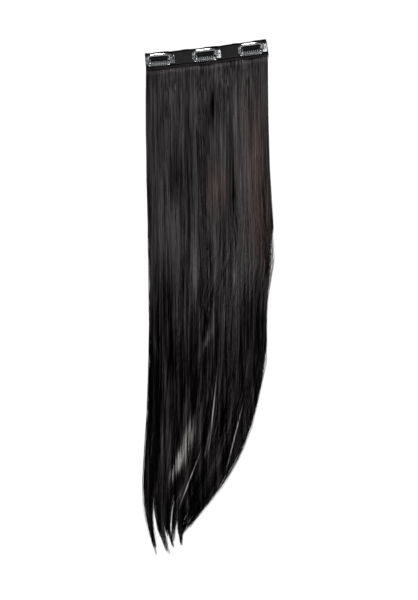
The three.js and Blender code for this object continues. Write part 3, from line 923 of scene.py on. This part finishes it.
def edge_at(side, down):
    """The outline's edge at shares of the drop, on a smooth curve through the table's rows."""
    rows = np.array([getattr(row, side) for row in OUTLINE])
    place = np.clip(down, 0, 1) * (len(rows) - 1)
    i = np.minimum(place.astype(int), len(rows) - 2)
    t = place - i
    a, b, c, d = (rows[np.clip(i + k, 0, len(rows) - 1)] for k in (-1, 0, 1, 2))
    return b + 0.5 * t * (c - a + t * (2 * a - 5 * b + 4 * c - d + t * (3 * b - a - 3 * c + d)))


def lock_centre(lock, shares):
    """The lock's middle line at shares of its length, as x and y, and the room it has there."""
    sizes = hair()
    length = band().length
    root, angle = band_place((lock.at - 0.5) * length)
    back = sizes.root_tuck - band().tape_width / 2
    down = shares * lock.reach
    left, right = edge_at("left", down), edge_at("right", down)
    flow = (left + (right - left) * lock.at - (2 * lock.at - 1)) / 2
    sway = lock.sway * np.sin(shares * SWAY_WAVES * 2 * np.pi) * smooth(0, SWAY_START, shares)
    hooked = np.maximum(0, shares - HOOK_START) / (1 - HOOK_START)
    hook = lock.hook * TIP_CURL * hooked**HOOK_SHARPNESS
    cross = lock.cross * smooth(CROSS_START, CROSS_END, shares) * ((right - left) / 2)
    x = root.x - math.sin(angle) * back + (flow + sway + cross + hook) * length
    y = root.y + math.cos(angle) * back - down * sizes.drop
    return x, y, (right - left) / 2, angle


def along_lock(name, shares):
    stations = [row.share for row in STATIONS]
    return np.interp(shares, stations, [getattr(row, name) for row in STATIONS])


# Shares of a strand's length at which it has a ring of points, closer where it bends.
STRAND_RINGS = [0, 0.02, 0.07, 0.14, 0.25, 0.37, 0.5, 0.62, 0.73, 0.82, 0.9, 0.955, 1.0]
STRAND_SIDES = 3
SHORTEST = 0.84  # the shortest strands' share of their wisp's length
SHORTEST_WISP = 0.96  # the shortest wisps' share of their lock's length
FEWEST_WISPS = 4  # pairs of wisps in a narrow lock
WISP_SPREAD = 0.07  # how far a wisp's strands spread, in half lock widths
GATHERED = 0.75  # how far strands have gathered into their wisps at the tip
SKIN_STRANDS = 0.72  # share of the strands that lie just under the lock's upper skin
WISP_WANDER = 0.9 * MM
STRAND_WANDER = 0.35 * MM
STRAY_STRANDS = 0.02  # share of the strands that stand out of their lock
STRAY_REACH = 1.6 * MM
WISP_TONES = 0.16  # how much wisps differ in tone
STRAND_TONES = 0.12


def lock_strands(lock, count, rng):
    """Rings of points for a lock's strands: (strand, ring, corner, xyz), and their tones."""
    sizes = hair()
    rings = np.array(STRAND_RINGS)[None, :]
    wide = lock.width * band().length
    wisps = max(FEWEST_WISPS, round(wide / sizes.wisp_width))
    wisp = rng.integers(0, wisps * 2, count)
    wisp_at = rng.uniform(-1, 1, wisps * 2)
    wisp_reach = rng.uniform(SHORTEST_WISP, 1.0, wisps * 2) - TIP_POINT * wisp_at**2
    reach = wisp_reach[wisp] * (1 - (1 - SHORTEST) * rng.uniform(0, 1, count) ** 3)
    shares = rings * reach[:, None]

    x, y, room, angle = lock_centre(lock, shares)
    ahead = lock_centre(lock, shares + PATH_STEP)
    behind = lock_centre(lock, shares - PATH_STEP)
    path = np.stack([ahead[0] - behind[0], ahead[1] - behind[1]], -1)
    path /= np.linalg.norm(path, axis=-1, keepdims=True)
    square = np.stack([-path[..., 1], path[..., 0]], -1)
    turned = smooth(0, ROOT_TURN, shares)[..., None]
    across = np.array([math.cos(angle), math.sin(angle)]) * (1 - turned) + square * turned
    across /= np.linalg.norm(across, axis=-1, keepdims=True)

    gather = np.clip(room, CLOSEST_GATHER, 1)
    spread = TIP_SPREAD + (1 - TIP_SPREAD) * along_lock("width", shares)
    width = np.maximum(TIP_WIDTH, wide * spread * gather)
    layer = LAYERS[lock.layer]
    root = sizes.root_thickness * layer.root * (1 - smooth(0.5, 1, shares))
    full = layer.thickness * sizes.lock_thickness
    thick = np.maximum(TIP_THICKNESS, root + (full - root) * along_lock("thickness", shares))
    root_height = sizes.floor_clearance + sizes.root_thickness / 2
    lift = (layer.height * sizes.lock_thickness - root_height) * along_lock("lift", shares)
    height = np.maximum(sizes.floor_clearance + thick / 2, root_height + lift)

    # Where the strand lies in the lock's section: mostly just under its upper skin.
    even = rng.uniform(-1, 1, count)
    gathered = np.clip(wisp_at[wisp] + rng.normal(0, WISP_SPREAD, count), -1, 1)
    clump = (GATHERED * smooth(0.12, 0.95, shares)) * rng.uniform(0.6, 1, count)[:, None]
    aside = even[:, None] * (1 - clump) + gathered[:, None] * clump
    skin = np.sqrt(np.maximum(0, 1 - aside**2))
    at_skin = rng.uniform(0, 1, count) < SKIN_STRANDS
    under_skin = 1 - 0.5 * rng.uniform(0, 1, count) ** 1.5
    inside = rng.uniform(-0.9, 0.5, count)
    depth = np.where(at_skin, under_skin, inside)
    over = skin * depth[:, None]

    # Wisps wander together, and each strand a little by itself.
    phase = rng.uniform(0, 2 * np.pi, wisps * 2)[wisp][:, None]
    waves = rng.uniform(1.0, 2.6, wisps * 2)[wisp][:, None]
    wander = WISP_WANDER * np.sin(waves * 2 * np.pi * shares + phase)
    own_phase = rng.uniform(0, 2 * np.pi, count)[:, None]
    own_waves = rng.uniform(2, 5, count)[:, None]
    own = STRAND_WANDER * np.sin(own_waves * 2 * np.pi * shares + own_phase)
    is_stray = rng.uniform(0, 1, count) < STRAY_STRANDS
    stray = is_stray[:, None] * rng.normal(0, STRAY_REACH, count)[:, None]
    loose = smooth(0.03, 0.3, shares)
    offset = aside * width / 2 + (wander + own) * loose + stray * smooth(0.3, 1, shares)

    radius = sizes.strand_width / 2 * rng.uniform(0.75, 1.2, count)[:, None]
    radius = radius * (0.6 + 0.4 * smooth(0, 0.1, shares)) * (1 - 0.7 * smooth(0.88, 1, rings))
    middle = np.stack(
        [x + across[..., 0] * offset, y + across[..., 1] * offset, height + over * thick / 2], -1
    )
    middle[..., 2] = np.maximum(middle[..., 2], sizes.floor_clearance + radius)
    sideways = np.concatenate([across, np.zeros_like(across[..., :1])], -1)
    upward = np.array([0, 0, 1.0])
    roll = rng.uniform(0, 2 * np.pi, count)[:, None]
    corners = []
    for k in range(STRAND_SIDES):
        turn = roll + 2 * np.pi * k / STRAND_SIDES
        out = np.cos(turn)[..., None] * sideways + np.sin(turn)[..., None] * upward
        corners.append(middle + out * radius[..., None])
    tone = 0.5 + rng.normal(0, WISP_TONES, wisps * 2)[wisp] + rng.normal(0, STRAND_TONES, count)
    # Painted shade: strands deep inside the lock get a darker tone, and those at its skin a
    # lighter one.
    tone += 0.1 * (depth - 0.6)
    return np.stack(corners, 2), np.clip(tone, 0, 1)


def strand_faces(count, rings):
    """Side quads and end triangles of closed three-sided strands, counted in turn."""
    corner = np.arange(STRAND_SIDES)
    after = (corner + 1) % STRAND_SIDES
    ring = np.arange(rings - 1)[:, None] * STRAND_SIDES
    quads = np.stack(
        [ring + corner, ring + STRAND_SIDES + corner, ring + STRAND_SIDES + after, ring + after],
        -1,
    ).reshape(-1, 4)
    ends = np.array([corner, (rings - 1) * STRAND_SIDES + corner[::-1]])
    first = np.arange(count)[:, None, None] * rings * STRAND_SIDES
    return (quads + first).reshape(-1, 4), (ends + first).reshape(-1, STRAND_SIDES)


def strand_map(count, rings):
    """UV places of the side quads' corners: a column for each strand, its length up the map."""
    columns = math.ceil(math.sqrt(count * 8))
    rows = math.ceil(count / columns)
    strand = np.arange(count)
    left, low = strand % columns, strand // columns
    ring = np.repeat(np.arange(rings - 1), STRAND_SIDES)
    side = np.tile(np.arange(STRAND_SIDES), rings - 1)
    u = np.stack([side, side, side + 1, side + 1], -1) / STRAND_SIDES
    v = np.stack([ring, ring + 1, ring + 1, ring], -1) / (rings - 1)
    u = (left[:, None, None] + 0.06 + 0.88 * u) / columns
    v = (low[:, None, None] + 0.02 + 0.96 * v) / rows
    return np.stack([u, v], -1).reshape(-1, 2)


def make_strands(name, locks, count, rng, fibre):
    """One mesh of the strands of several locks, each lock with strands for its width."""
    widths = np.array([lock.width for lock in locks])
    counts = np.round(count * widths / widths.sum()).astype(int)
    made = [lock_strands(lock, n, rng) for lock, n in zip(locks, counts)]
    points = np.concatenate([part[0] for part in made])
    tones = np.concatenate([part[1] for part in made])
    strands, rings = points.shape[:2]
    quads, ends = strand_faces(strands, rings)
    mesh = bpy.data.meshes.new(name)
    mesh.vertices.add(points.size // 3)
    mesh.vertices.foreach_set("co", points.astype(np.float32).ravel())
    corners = np.concatenate([quads.ravel(), ends.ravel()]).astype(np.int32)
    mesh.loops.add(len(corners))
    mesh.loops.foreach_set("vertex_index", corners)
    starts = np.concatenate(
        [np.arange(len(quads)) * 4, len(quads) * 4 + np.arange(len(ends)) * STRAND_SIDES]
    ).astype(np.int32)
    mesh.polygons.add(len(starts))
    mesh.polygons.foreach_set("loop_start", starts)
    mesh.update(calc_edges=True)
    places = np.zeros((len(corners), 2), np.float32)
    places[: len(quads) * 4] = strand_map(strands, rings)
    mesh.uv_layers.new(name="OFBake").uv.foreach_set("vector", places.ravel())
    tone = mesh.attributes.new("tone", "FLOAT", "POINT")
    tone.data.foreach_set("value", np.repeat(tones, rings * STRAND_SIDES).astype(np.float32))
    mesh.shade_smooth()
    mesh.validate()
    piece = bpy.data.objects.new(name, mesh)
    bpy.context.scene.collection.objects.link(piece)
    finish_piece(piece, name, "weft", fibre)
    return piece


def make_hair():
    fibre = material("dyed_straight_fibre", hair_shader)
    pieces = []
    for number, name in enumerate(dict.fromkeys(lock.piece for lock in LOCKS)):
        locks = [lock for lock in LOCKS if lock.piece == name]
        rng = np.random.default_rng(number + 11)
        pieces.append(make_strands(name, locks, hair().strands, rng, fibre))
    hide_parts("hair_weft")
    return pieces


# Snap combs: each is modelled once, x along it to the tab, y to the band's top, z off its seat.

TAB_LENGTH = 5 * MM
TAB_WIDTH = 9 * MM
TAB_SHIFT = -0.7 * MM
TAB_BASE = 0.35 * MM
TAB_THICKNESS = 1 * MM
TAB_HOLE_RADIUS = 0.8 * MM
NOTCH_WIDTH = 2.2 * MM
NOTCH_DEPTH = 2 * MM
NOTCH_SHIFT = 0.5 * MM
NOTCH_OVERCUT = 1.1
TAB_CORNER = 0.7 * MM
PIN_HEAD_RADIUS = 0.85 * MM
PIN_HEAD_LENGTH = 0.4 * MM
PIN_CLEARANCE = 0.25 * MM
EAR_RADIUS = 1.1 * MM
EAR_THICKNESS = 0.7 * MM
KNUCKLE_RADIUS = 1.1 * MM
KNUCKLE_WIDTH = 2.2 * MM
RUNNING_GAP = 0.3 * MM
SPINE_WIDTH = 2 * MM
SPINE_END_GAP = 0.6 * MM
SPINE_CUTS = 12
RING_CUTS = 16
TOOTH_COUNT = 9
TOOTH_END_MARGIN = 0.35 * MM
TOOTH_WIDTH = 1.1 * MM
SLEEVE_LIFT = 0.5 * MM
SLEEVE_SLOT = 1.2 * MM
SLEEVE_END_MARGIN = 1 * MM
SEW_HOLE_RADIUS = 0.5 * MM
SEW_HOLE_SHIFT = 0.7 * MM
LOOP_THREAD = 0.3 * MM
LOOP_SPREAD = 0.55  # from a sewing hole's middle to each of its loops, in threads
CROWN_AT_LOOPS = 0.7  # share of the strip's dome under the loops
SEW_HOLES_ABOVE = (-4, 0, 4)  # in tooth pitches from the comb's middle
SEW_HOLES_BELOW = (-2.5, 2.5)
CLIP_COUNT = 3


class ClipPlan:
    """Places on a snap comb, worked out from its sizes."""

    def __init__(self):
        sizes = clip()
        self.ring_length = sizes.length - sizes.tab_reach
        self.centre = -sizes.tab_reach / 2
        self.end = self.centre + self.ring_length / 2
        self.start = self.centre - self.ring_length / 2
        self.window_end = self.end - sizes.arm_width
        self.window_start = self.start + sizes.arm_width
        self.tab_start = self.end + sizes.tab_reach - TAB_LENGTH
        self.tab_top = TAB_BASE + TAB_THICKNESS
        self.pin_x = self.tab_start + EAR_RADIUS
        self.pin_z = self.tab_top + RUNNING_GAP + KNUCKLE_RADIUS
        self.pin = (self.pin_x, 0, self.pin_z)
        self.ear_inner = KNUCKLE_WIDTH / 2 + RUNNING_GAP
        self.ear_outer = self.ear_inner + EAR_THICKNESS
        self.spine_z = SLEEVE_LIFT + sizes.sleeve_radius
        self.spine_start = self.window_start + SPINE_END_GAP
        self.comb_end = self.window_end - SLEEVE_END_MARGIN
        self.comb_centre = (self.spine_start + self.comb_end) / 2
        run = self.comb_end - self.spine_start - TOOTH_WIDTH - 2 * TOOTH_END_MARGIN
        self.tooth_pitch = run / (TOOTH_COUNT - 1)

    def arch(self, x):
        away = 2 * (x - self.centre) / self.ring_length
        return clip().arch_rise * max(0, 1 - away * away)

    def bow(self, piece):
        """Bows the piece up along its length."""
        for vertex in piece.data.vertices:
            vertex.co.z += self.arch(vertex.co.x)
        piece.data.update()

    def sew_holes(self):
        """The sewing holes' places, and the way out to the strip's edge from each."""
        line = clip().width / 2 - clip().arm_width / 2 + SEW_HOLE_SHIFT
        end = self.start + clip().arm_width / 2 - SEW_HOLE_SHIFT
        holes = [
            (self.comb_centre + step * self.tooth_pitch, side * line, 0, side)
            for side, steps in ((1, SEW_HOLES_ABOVE), (-1, SEW_HOLES_BELOW))
            for step in steps
        ]
        return [*holes, (end, 0, -1, 0)]


def make_ring(plan):
    """The ring: a plate with round corners, stepped in and domed, its middle cut away."""
    sizes = clip()
    ring = plate(plan.ring_length, sizes.width, (plan.centre, 0, sizes.steel))
    steps = 6
    crowns = [sizes.arm_crown * (1 - (2 * i / steps - 1) ** 2) for i in range(steps + 1)]
    with editing(ring):
        bpy.ops.mesh.bevel(
            offset=sizes.corner_radius + sizes.arm_width / 2, segments=9, affect="VERTICES"
        )
        bpy.ops.mesh.select_mode(type="FACE")
        bpy.ops.mesh.select_all(action="SELECT")
        for low, high in zip(crowns, crowns[1:]):
            bpy.ops.mesh.inset(thickness=sizes.arm_width / steps, depth=0)
            bpy.ops.transform.translate(value=(0, 0, high - low))
        bpy.ops.mesh.delete(type="FACE")
    cut_along(ring, plan.start, plan.end, RING_CUTS)
    modify(ring, "SOLIDIFY", thickness=sizes.steel, offset=-1)
    bevel(ring, 0.14 * MM)
    plan.bow(ring)
    return ring


def make_tab(plan):
    """The end tab: a small plate with an eyelet and a forked foot."""
    middle = (plan.tab_start + TAB_LENGTH / 2, TAB_SHIFT, TAB_BASE)
    tab = plate(TAB_LENGTH, TAB_WIDTH, middle)
    with editing(tab):
        bpy.ops.mesh.bevel(offset=TAB_CORNER, segments=4, affect="VERTICES")
        bpy.ops.mesh.select_all(action="SELECT")
        extrude((0, 0, TAB_THICKNESS))
    bevel(tab, 0.16 * MM)
    eye = (plan.tab_start + TAB_LENGTH - 2 * TAB_HOLE_RADIUS, 0, TAB_BASE)
    cut_out(tab, cylinder(20, TAB_HOLE_RADIUS, 4 * TAB_THICKNESS, eye))
    # A three-sided prism of radius 1 is the root of 3 wide and 1.5 deep.
    fork = cylinder(3, 1, 4 * TAB_THICKNESS, (0, 0, 0))
    wide = NOTCH_WIDTH / math.sqrt(3) * NOTCH_OVERCUT
    deep = NOTCH_DEPTH / 1.5 * NOTCH_OVERCUT
    with editing(fork):
        bpy.ops.transform.resize(value=(wide, deep, 1))
    foot = TAB_SHIFT - TAB_WIDTH / 2 + 0.25 * NOTCH_DEPTH
    fork.location = (plan.tab_start + TAB_LENGTH / 2 + NOTCH_SHIFT, foot, TAB_BASE)
    settle_place(fork)
    cut_out(tab, fork)
    return tab


def make_ear(plan, side):
    """An ear: a round-topped plate standing on the tab."""
    foot = plan.tab_top - TAB_THICKNESS / 2
    top = plan.pin_z + EAR_RADIUS
    middle = (plan.pin_x, side * (plan.ear_inner + plan.ear_outer) / 2, (foot + top) / 2)
    ear = add_part(bpy.ops.mesh.primitive_cube_add, size=1, location=middle)
    with editing(ear):
        bpy.ops.transform.resize(
            value=(2 * EAR_RADIUS, EAR_THICKNESS, top - foot), center_override=middle
        )
        pick("EDGE", lambda m: m.z > top - 1e-6 and abs(m.y - middle[1]) < 1e-6)
        bpy.ops.mesh.bevel(offset=0.98 * EAR_RADIUS, segments=8)
    bevel(ear, 0.1 * MM)
    return ear


def drill_bore(piece, plan):
    """Cuts the pin's hole through the piece."""
    radius = clip().pin_radius + PIN_CLEARANCE
    cut_out(piece, cylinder(20, radius, clip().width, plan.pin, ALONG_Y))


def make_frame(plan):
    """A comb's fixed steel: ring, tab and ears in one, with its holes."""
    body = weld([make_ring(plan), make_tab(plan), make_ear(plan, 1), make_ear(plan, -1)])
    drill_bore(body, plan)
    holes = [
        cylinder(14, SEW_HOLE_RADIUS, clip().width, (x, y, 0))
        for x, y, _, _ in plan.sew_holes()
    ]
    cut_out(body, join(holes))
    even_shine(body)
    return body


def make_pin(plan):
    """The pin: turned, with a head at each end."""
    neck = plan.ear_outer + band().layer_gap
    end = neck + PIN_HEAD_LENGTH
    radius = clip().pin_radius
    centre = Vector((plan.pin_x, -end, plan.pin_z))
    pin = add_part(
        bpy.ops.mesh.primitive_circle_add,
        vertices=20,
        radius=PIN_HEAD_RADIUS,
        fill_type="NGON",
        location=centre,
        rotation=ALONG_Y,
    )
    narrow = radius / PIN_HEAD_RADIUS
    with editing(pin):
        for run, scale in ((end - neck, narrow), (2 * neck, 1 / narrow), (end - neck, 1)):
            extrude((0, run, 0))
            centre.y += run
            if scale != 1:
                extrude((0, 0, 0))
                bpy.ops.transform.resize(value=(scale, 1, scale), center_override=centre)
        face_outward()
    bevel(pin, 0.08 * MM)
    soften(pin)
    return pin


# A tooth's path out of the spine. out: to the lower edge, in half clip widths. rise: over the
# ring's seat, in millimetres. width, thickness: in millimetres. lean: degrees from upright.
ToothStep = namedtuple("ToothStep", "out rise width thickness lean")
TOOTH_PATH = [
    ToothStep(0.0, 2.3, 1.1, 0.54, 0),
    ToothStep(0.24, 2.24, 1.1, 0.56, -2),
    ToothStep(0.446, 2.38, 1.1, 0.58, -2),
    ToothStep(0.6, 2.35, 1.1, 0.58, 4),
    ToothStep(0.74, 2.24, 1.1, 0.56, 10),
    ToothStep(0.88, 2.0, 1.05, 0.54, 22),
    ToothStep(0.97, 1.66, 0.98, 0.48, 38),
    ToothStep(1.04, 1.2, 0.88, 0.44, 50),
    ToothStep(1.1, 0.66, 0.7, 0.4, 60),
]


def make_tooth(plan, x):
    """One tooth: its section drawn out of the spine, over the arm and down."""
    half = clip().width / 2
    here = Vector((x, -TOOTH_PATH[0].out * half, TOOTH_PATH[0].rise * MM))
    tooth = plate(TOOTH_PATH[0].width * MM, TOOTH_PATH[0].thickness * MM, here, ALONG_Y)
    with editing(tooth):
        for before, step in zip(TOOTH_PATH, TOOTH_PATH[1:]):
            there = Vector((x, -step.out * half, step.rise * MM))
            extrude(there - here)
            here = there
            bpy.ops.transform.rotate(
                value=-math.radians(step.lean - before.lean), orient_axis="X", center_override=here
            )
            bpy.ops.transform.resize(
                value=(step.width / before.width, 1, step.thickness / before.thickness),
                center_override=here,
            )
        face_outward()
    bevel(tooth, 0.12 * MM)
    return tooth


def make_comb(plan):
    """The comb: nine teeth on a spine, and the knuckle that it turns on."""
    sizes = clip()
    start = (plan.spine_start, 0, plan.spine_z)
    spine = plate(sizes.steel, SPINE_WIDTH, start, (0, -math.pi / 2, 0))
    run = (plan.window_end - plan.spine_start) / SPINE_CUTS
    with editing(spine):
        for _ in range(SPINE_CUTS):
            extrude((run, 0, 0))
        rise = plan.pin_z - plan.arch(plan.pin_x) - plan.spine_z
        last = (plan.pin_x - plan.window_end, 0, rise)
        extrude(last)
        face_outward()
    bevel(spine, 0.12 * MM)
    first = plan.comb_centre - (TOOTH_COUNT - 1) / 2 * plan.tooth_pitch
    teeth = make_tooth(plan, first)
    repeat(teeth, TOOTH_COUNT, plan.tooth_pitch)
    comb = weld([spine, teeth])
    plan.bow(comb)
    knuckle = cylinder(24, KNUCKLE_RADIUS, KNUCKLE_WIDTH, plan.pin, ALONG_Y)
    bevel(knuckle, 0.1 * MM)
    comb = weld([comb, knuckle])
    drill_bore(comb, plan)
    even_shine(comb)
    return comb


def make_sleeve(plan):
    """The sleeve: a moulded tube, slit along one side for the spine and its teeth."""
    low = plan.spine_start + SLEEVE_END_MARGIN
    run = plan.comb_end - low
    radius = clip().sleeve_radius
    middle = (low + run / 2, 0, plan.spine_z)
    tube = cylinder(28, radius, run, middle, ALONG_X)
    bevel(tube, 0.3 * MM, 3)
    slit = add_part(bpy.ops.mesh.primitive_cube_add, size=1, location=middle)
    inner = SPINE_WIDTH / 2 + RUNNING_GAP
    with editing(slit):
        size = (2 * run, inner + 2 * radius, SLEEVE_SLOT)
        bpy.ops.transform.resize(value=size, center_override=middle)
        bpy.ops.transform.translate(value=(0, (inner - 2 * radius) / 2, 0))
    cut_out(tube, slit)
    cut_along(tube, low, low + run, SPINE_CUTS)
    plan.bow(tube)
    soften(tube, 40)
    return tube


def make_sew_loops(plan):
    """Thread loops over the ring's edge, two at each sewing hole, down into the tape."""
    loops = []
    thread = LOOP_THREAD
    for x, y, out_x, out_y in plan.sew_holes():
        rise = plan.arch(x)
        for turn in (-1, 1):
            top = clip().steel + clip().arm_crown * CROWN_AT_LOOPS + rise + thread / 2
            bottom = -band().layer_gap
            reach = clip().arm_width / 2 - SEW_HOLE_SHIFT + thread
            loop = add_part(
                bpy.ops.mesh.primitive_torus_add,
                major_segments=16,
                minor_segments=6,
                major_radius=reach / 2,
                minor_radius=thread / 2,
                rotation=(math.pi / 2, 0, 0 if out_x else math.pi / 2),
            )
            with editing(loop):
                bpy.ops.transform.resize(
                    value=(1, 1, (top - bottom) / reach), center_override=(0, 0, 0)
                )
                middle = Vector((x + out_x * reach / 2, y + out_y * reach / 2, (top + bottom) / 2))
                spread = LOOP_SPREAD * thread * turn
                bpy.ops.transform.translate(
                    value=middle + Vector((abs(out_y) * spread, abs(out_x) * spread, 0))
                )
            loops.append(loop)
    thread_loops = join(loops)
    soften(thread_loops, 60)
    return thread_loops


def clip_matrix(number):
    """Where a comb sits on the band: its seat, turned along the band."""
    first = -(band().length - clip().length) / 2 + clip().end_margin
    pitch = -2 * first / (CLIP_COUNT - 1)
    point, angle = band_place(first + number * pitch)
    seat = Matrix.Translation(point + Vector((0, 0, clip_seat())))
    return seat @ Matrix.Rotation(angle, 4, "Z")


def set_copies(model, name, body, finish, replaced=""):
    """Copies a modelled part onto each comb's seat, each copy with its own mesh."""
    for number in range(CLIP_COUNT):
        copy = model.copy()
        copy.data = model.data.copy()
        bpy.context.scene.collection.objects.link(copy)
        copy.data.transform(clip_matrix(number))
        label = f"clip_{number + 1}"
        stands_for = [f"{label}_{replaced}"] if replaced else ()
        finish_piece(copy, f"{label}_{name}", body.format(label), finish, stands_for)
    bpy.data.objects.remove(model)


# Stage


# Softboxes. x, y, z: the middle, in metres. aim: the y of the floor that it points at, at x 0.
# wide: its size across the way that it leans, and deep: along it. power: watts. The overhead
# one gives the upper hair its sheen, the card is for the steel's flat tabs, and the one beside
# rounds the locks. The others light the floor and the domed steel from beyond the band and the
# tips, where straight strands don't mirror them upwards.
Light = namedtuple("Light", "name x y z aim wide deep power")
LIGHTS = [
    Light("overhead_softbox", 0.06, -0.09, 1.0, -0.09, 0.2, 0.84, 0.9),
    Light("overhead_card", 0.05, 0.05, 1.0, 0.05, 0.03, 0.1, 0.03),
    Light("softbox_beside", -1.7, -0.12, 1.3, -0.12, 1.4, 1.4, 2.4),
    Light("softbox_beyond_band", -0.45, 2.1, 1.75, -0.2, 1.1, 0.85, 66),
    Light("softbox_front_left", -1.9, -3.0, 1.5, -0.3, 1.2, 1.0, 35),
    Light("softbox_front_right", 1.9, -3.0, 1.5, -0.3, 1.2, 1.0, 35),
]


def add_light(row):
    data = bpy.data.lights.new(row.name, "AREA")
    data.shape = "RECTANGLE"
    data.size = row.wide
    data.size_y = row.deep
    data.energy = row.power
    light = bpy.data.objects.new(row.name, data)
    bpy.context.scene.collection.objects.link(light)
    light.location = (row.x, row.y, row.z)
    aim = Vector((0, row.aim, 0)) - light.location
    light.rotation_euler = aim.to_track_quat("-Z", "Y").to_euler()


VIEW_MIDDLE = (2.8 * MM, -272 * MM)
VIEW_HEIGHT = 666 * MM  # 600 pixels at 1.11 mm
CAMERA_HEIGHT = 6.0
AIR_LIGHT = 0.12
SENSOR = 24


def make_stage():
    scene = bpy.context.scene
    floor = plate(6, 6, (0, -0.27, 0))
    with editing(floor):
        bpy.ops.mesh.subdivide(number_cuts=3)
    floor.name = "studio_floor"
    floor.data.materials.append(material("opal_acrylic_table", floor_shader))
    world = bpy.data.worlds.new("studio_air")
    world.use_nodes = True
    world.node_tree.nodes["Background"].inputs["Color"].default_value = (1, 1, 1, 1)
    world.node_tree.nodes["Background"].inputs["Strength"].default_value = AIR_LIGHT
    scene.world = world
    for light in LIGHTS:
        add_light(light)
    data = bpy.data.cameras.new("camera")
    data.sensor_fit = "VERTICAL"
    data.sensor_height = SENSOR
    data.lens = SENSOR * CAMERA_HEIGHT / VIEW_HEIGHT
    data.clip_end = 20
    camera = bpy.data.objects.new("camera", data)
    scene.collection.objects.link(camera)
    camera.location = (*VIEW_MIDDLE, CAMERA_HEIGHT)
    scene.camera = camera
    scene.view_settings.view_transform = "Standard"


# Operators


class WEFT_OT_stage(Operator):
    """Lays the floor and sets the lights and the camera"""

    bl_idname = "weft.stage"
    bl_label = "Set the stage"

    def execute(self, context):
        make_stage()
        return {"FINISHED"}


class WEFT_OT_hair(Operator):
    """Draws the locks' strands"""

    bl_idname = "weft.hair"
    bl_label = "Draw the hair"

    def execute(self, context):
        make_weft_head()
        make_hair()
        return {"FINISHED"}


class WEFT_OT_tape(Operator):
    """Sews the hemmed tape over the weft"""

    bl_idname = "weft.tape"
    bl_label = "Sew the tape"

    def execute(self, context):
        tape = make_tape()
        stitches = make_stitches()
        return {"FINISHED"}


class WEFT_OT_frames(Operator):
    """Presses the combs' frames, pins them and sews them on"""

    bl_idname = "weft.frames"
    bl_label = "Press the frames"

    def execute(self, context):
        plan = ClipPlan()
        steel = material("bright_nickel_steel", steel_shader, 0.05, 0.15)
        thread = material("spun_polyester_thread", thread_shader)
        set_copies(make_frame(plan), "ring", "weft", steel, "frame")
        set_copies(make_pin(plan), "hinge_pin", "weft", steel, "pin")
        set_copies(make_sew_loops(plan), "sewing_loops", "weft", thread)
        return {"FINISHED"}


class WEFT_OT_levers(Operator):
    """Presses the combs' teeth and slips their sleeves on"""

    bl_idname = "weft.levers"
    bl_label = "Press the teeth"

    def execute(self, context):
        plan = ClipPlan()
        # The teeth are tumbled until their edges don't cut the hair, which leaves them satin.
        steel = material("tumbled_satin_steel", steel_shader, 0.3, 0.44)
        rubber = material("moulded_silicone", silicone_shader)
        set_copies(make_comb(plan), "teeth", "{}_lever", steel, "comb")
        set_copies(make_sleeve(plan), "grip", "{}_lever", rubber, "sleeve")
        return {"FINISHED"}


STEPS = (WEFT_OT_stage, WEFT_OT_hair, WEFT_OT_tape, WEFT_OT_frames, WEFT_OT_levers)


class WEFT_PT_steps(Panel):
    """The steps that make the weft, in order"""

    bl_idname = "WEFT_PT_steps"
    bl_label = "Hair weft"
    bl_space_type = "VIEW_3D"
    bl_region_type = "UI"
    bl_category = "Hair weft"

    def draw(self, context):
        for step in STEPS:
            self.layout.operator(step.bl_idname)


GROUPS = {
    "weft_band": BandSizes,
    "weft_hair": HairSizes,
    "weft_clip": ClipSizes,
    "weft_finishes": Finishes,
}


def register():
    for kind in (*GROUPS.values(), *STEPS, WEFT_PT_steps):
        bpy.utils.register_class(kind)
    for name, kind in GROUPS.items():
        setattr(bpy.types.Scene, name, PointerProperty(type=kind))


def unregister():
    for name in GROUPS:
        delattr(bpy.types.Scene, name)
    for kind in (WEFT_PT_steps, *reversed(STEPS), *reversed(GROUPS.values())):
        bpy.utils.unregister_class(kind)


def main():
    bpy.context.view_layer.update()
    register()
    bpy.ops.weft.stage()
    bpy.ops.weft.hair()
    bpy.ops.weft.tape()
    bpy.ops.weft.frames()
    bpy.ops.weft.levers()


if __name__ == "__main__":
    main()
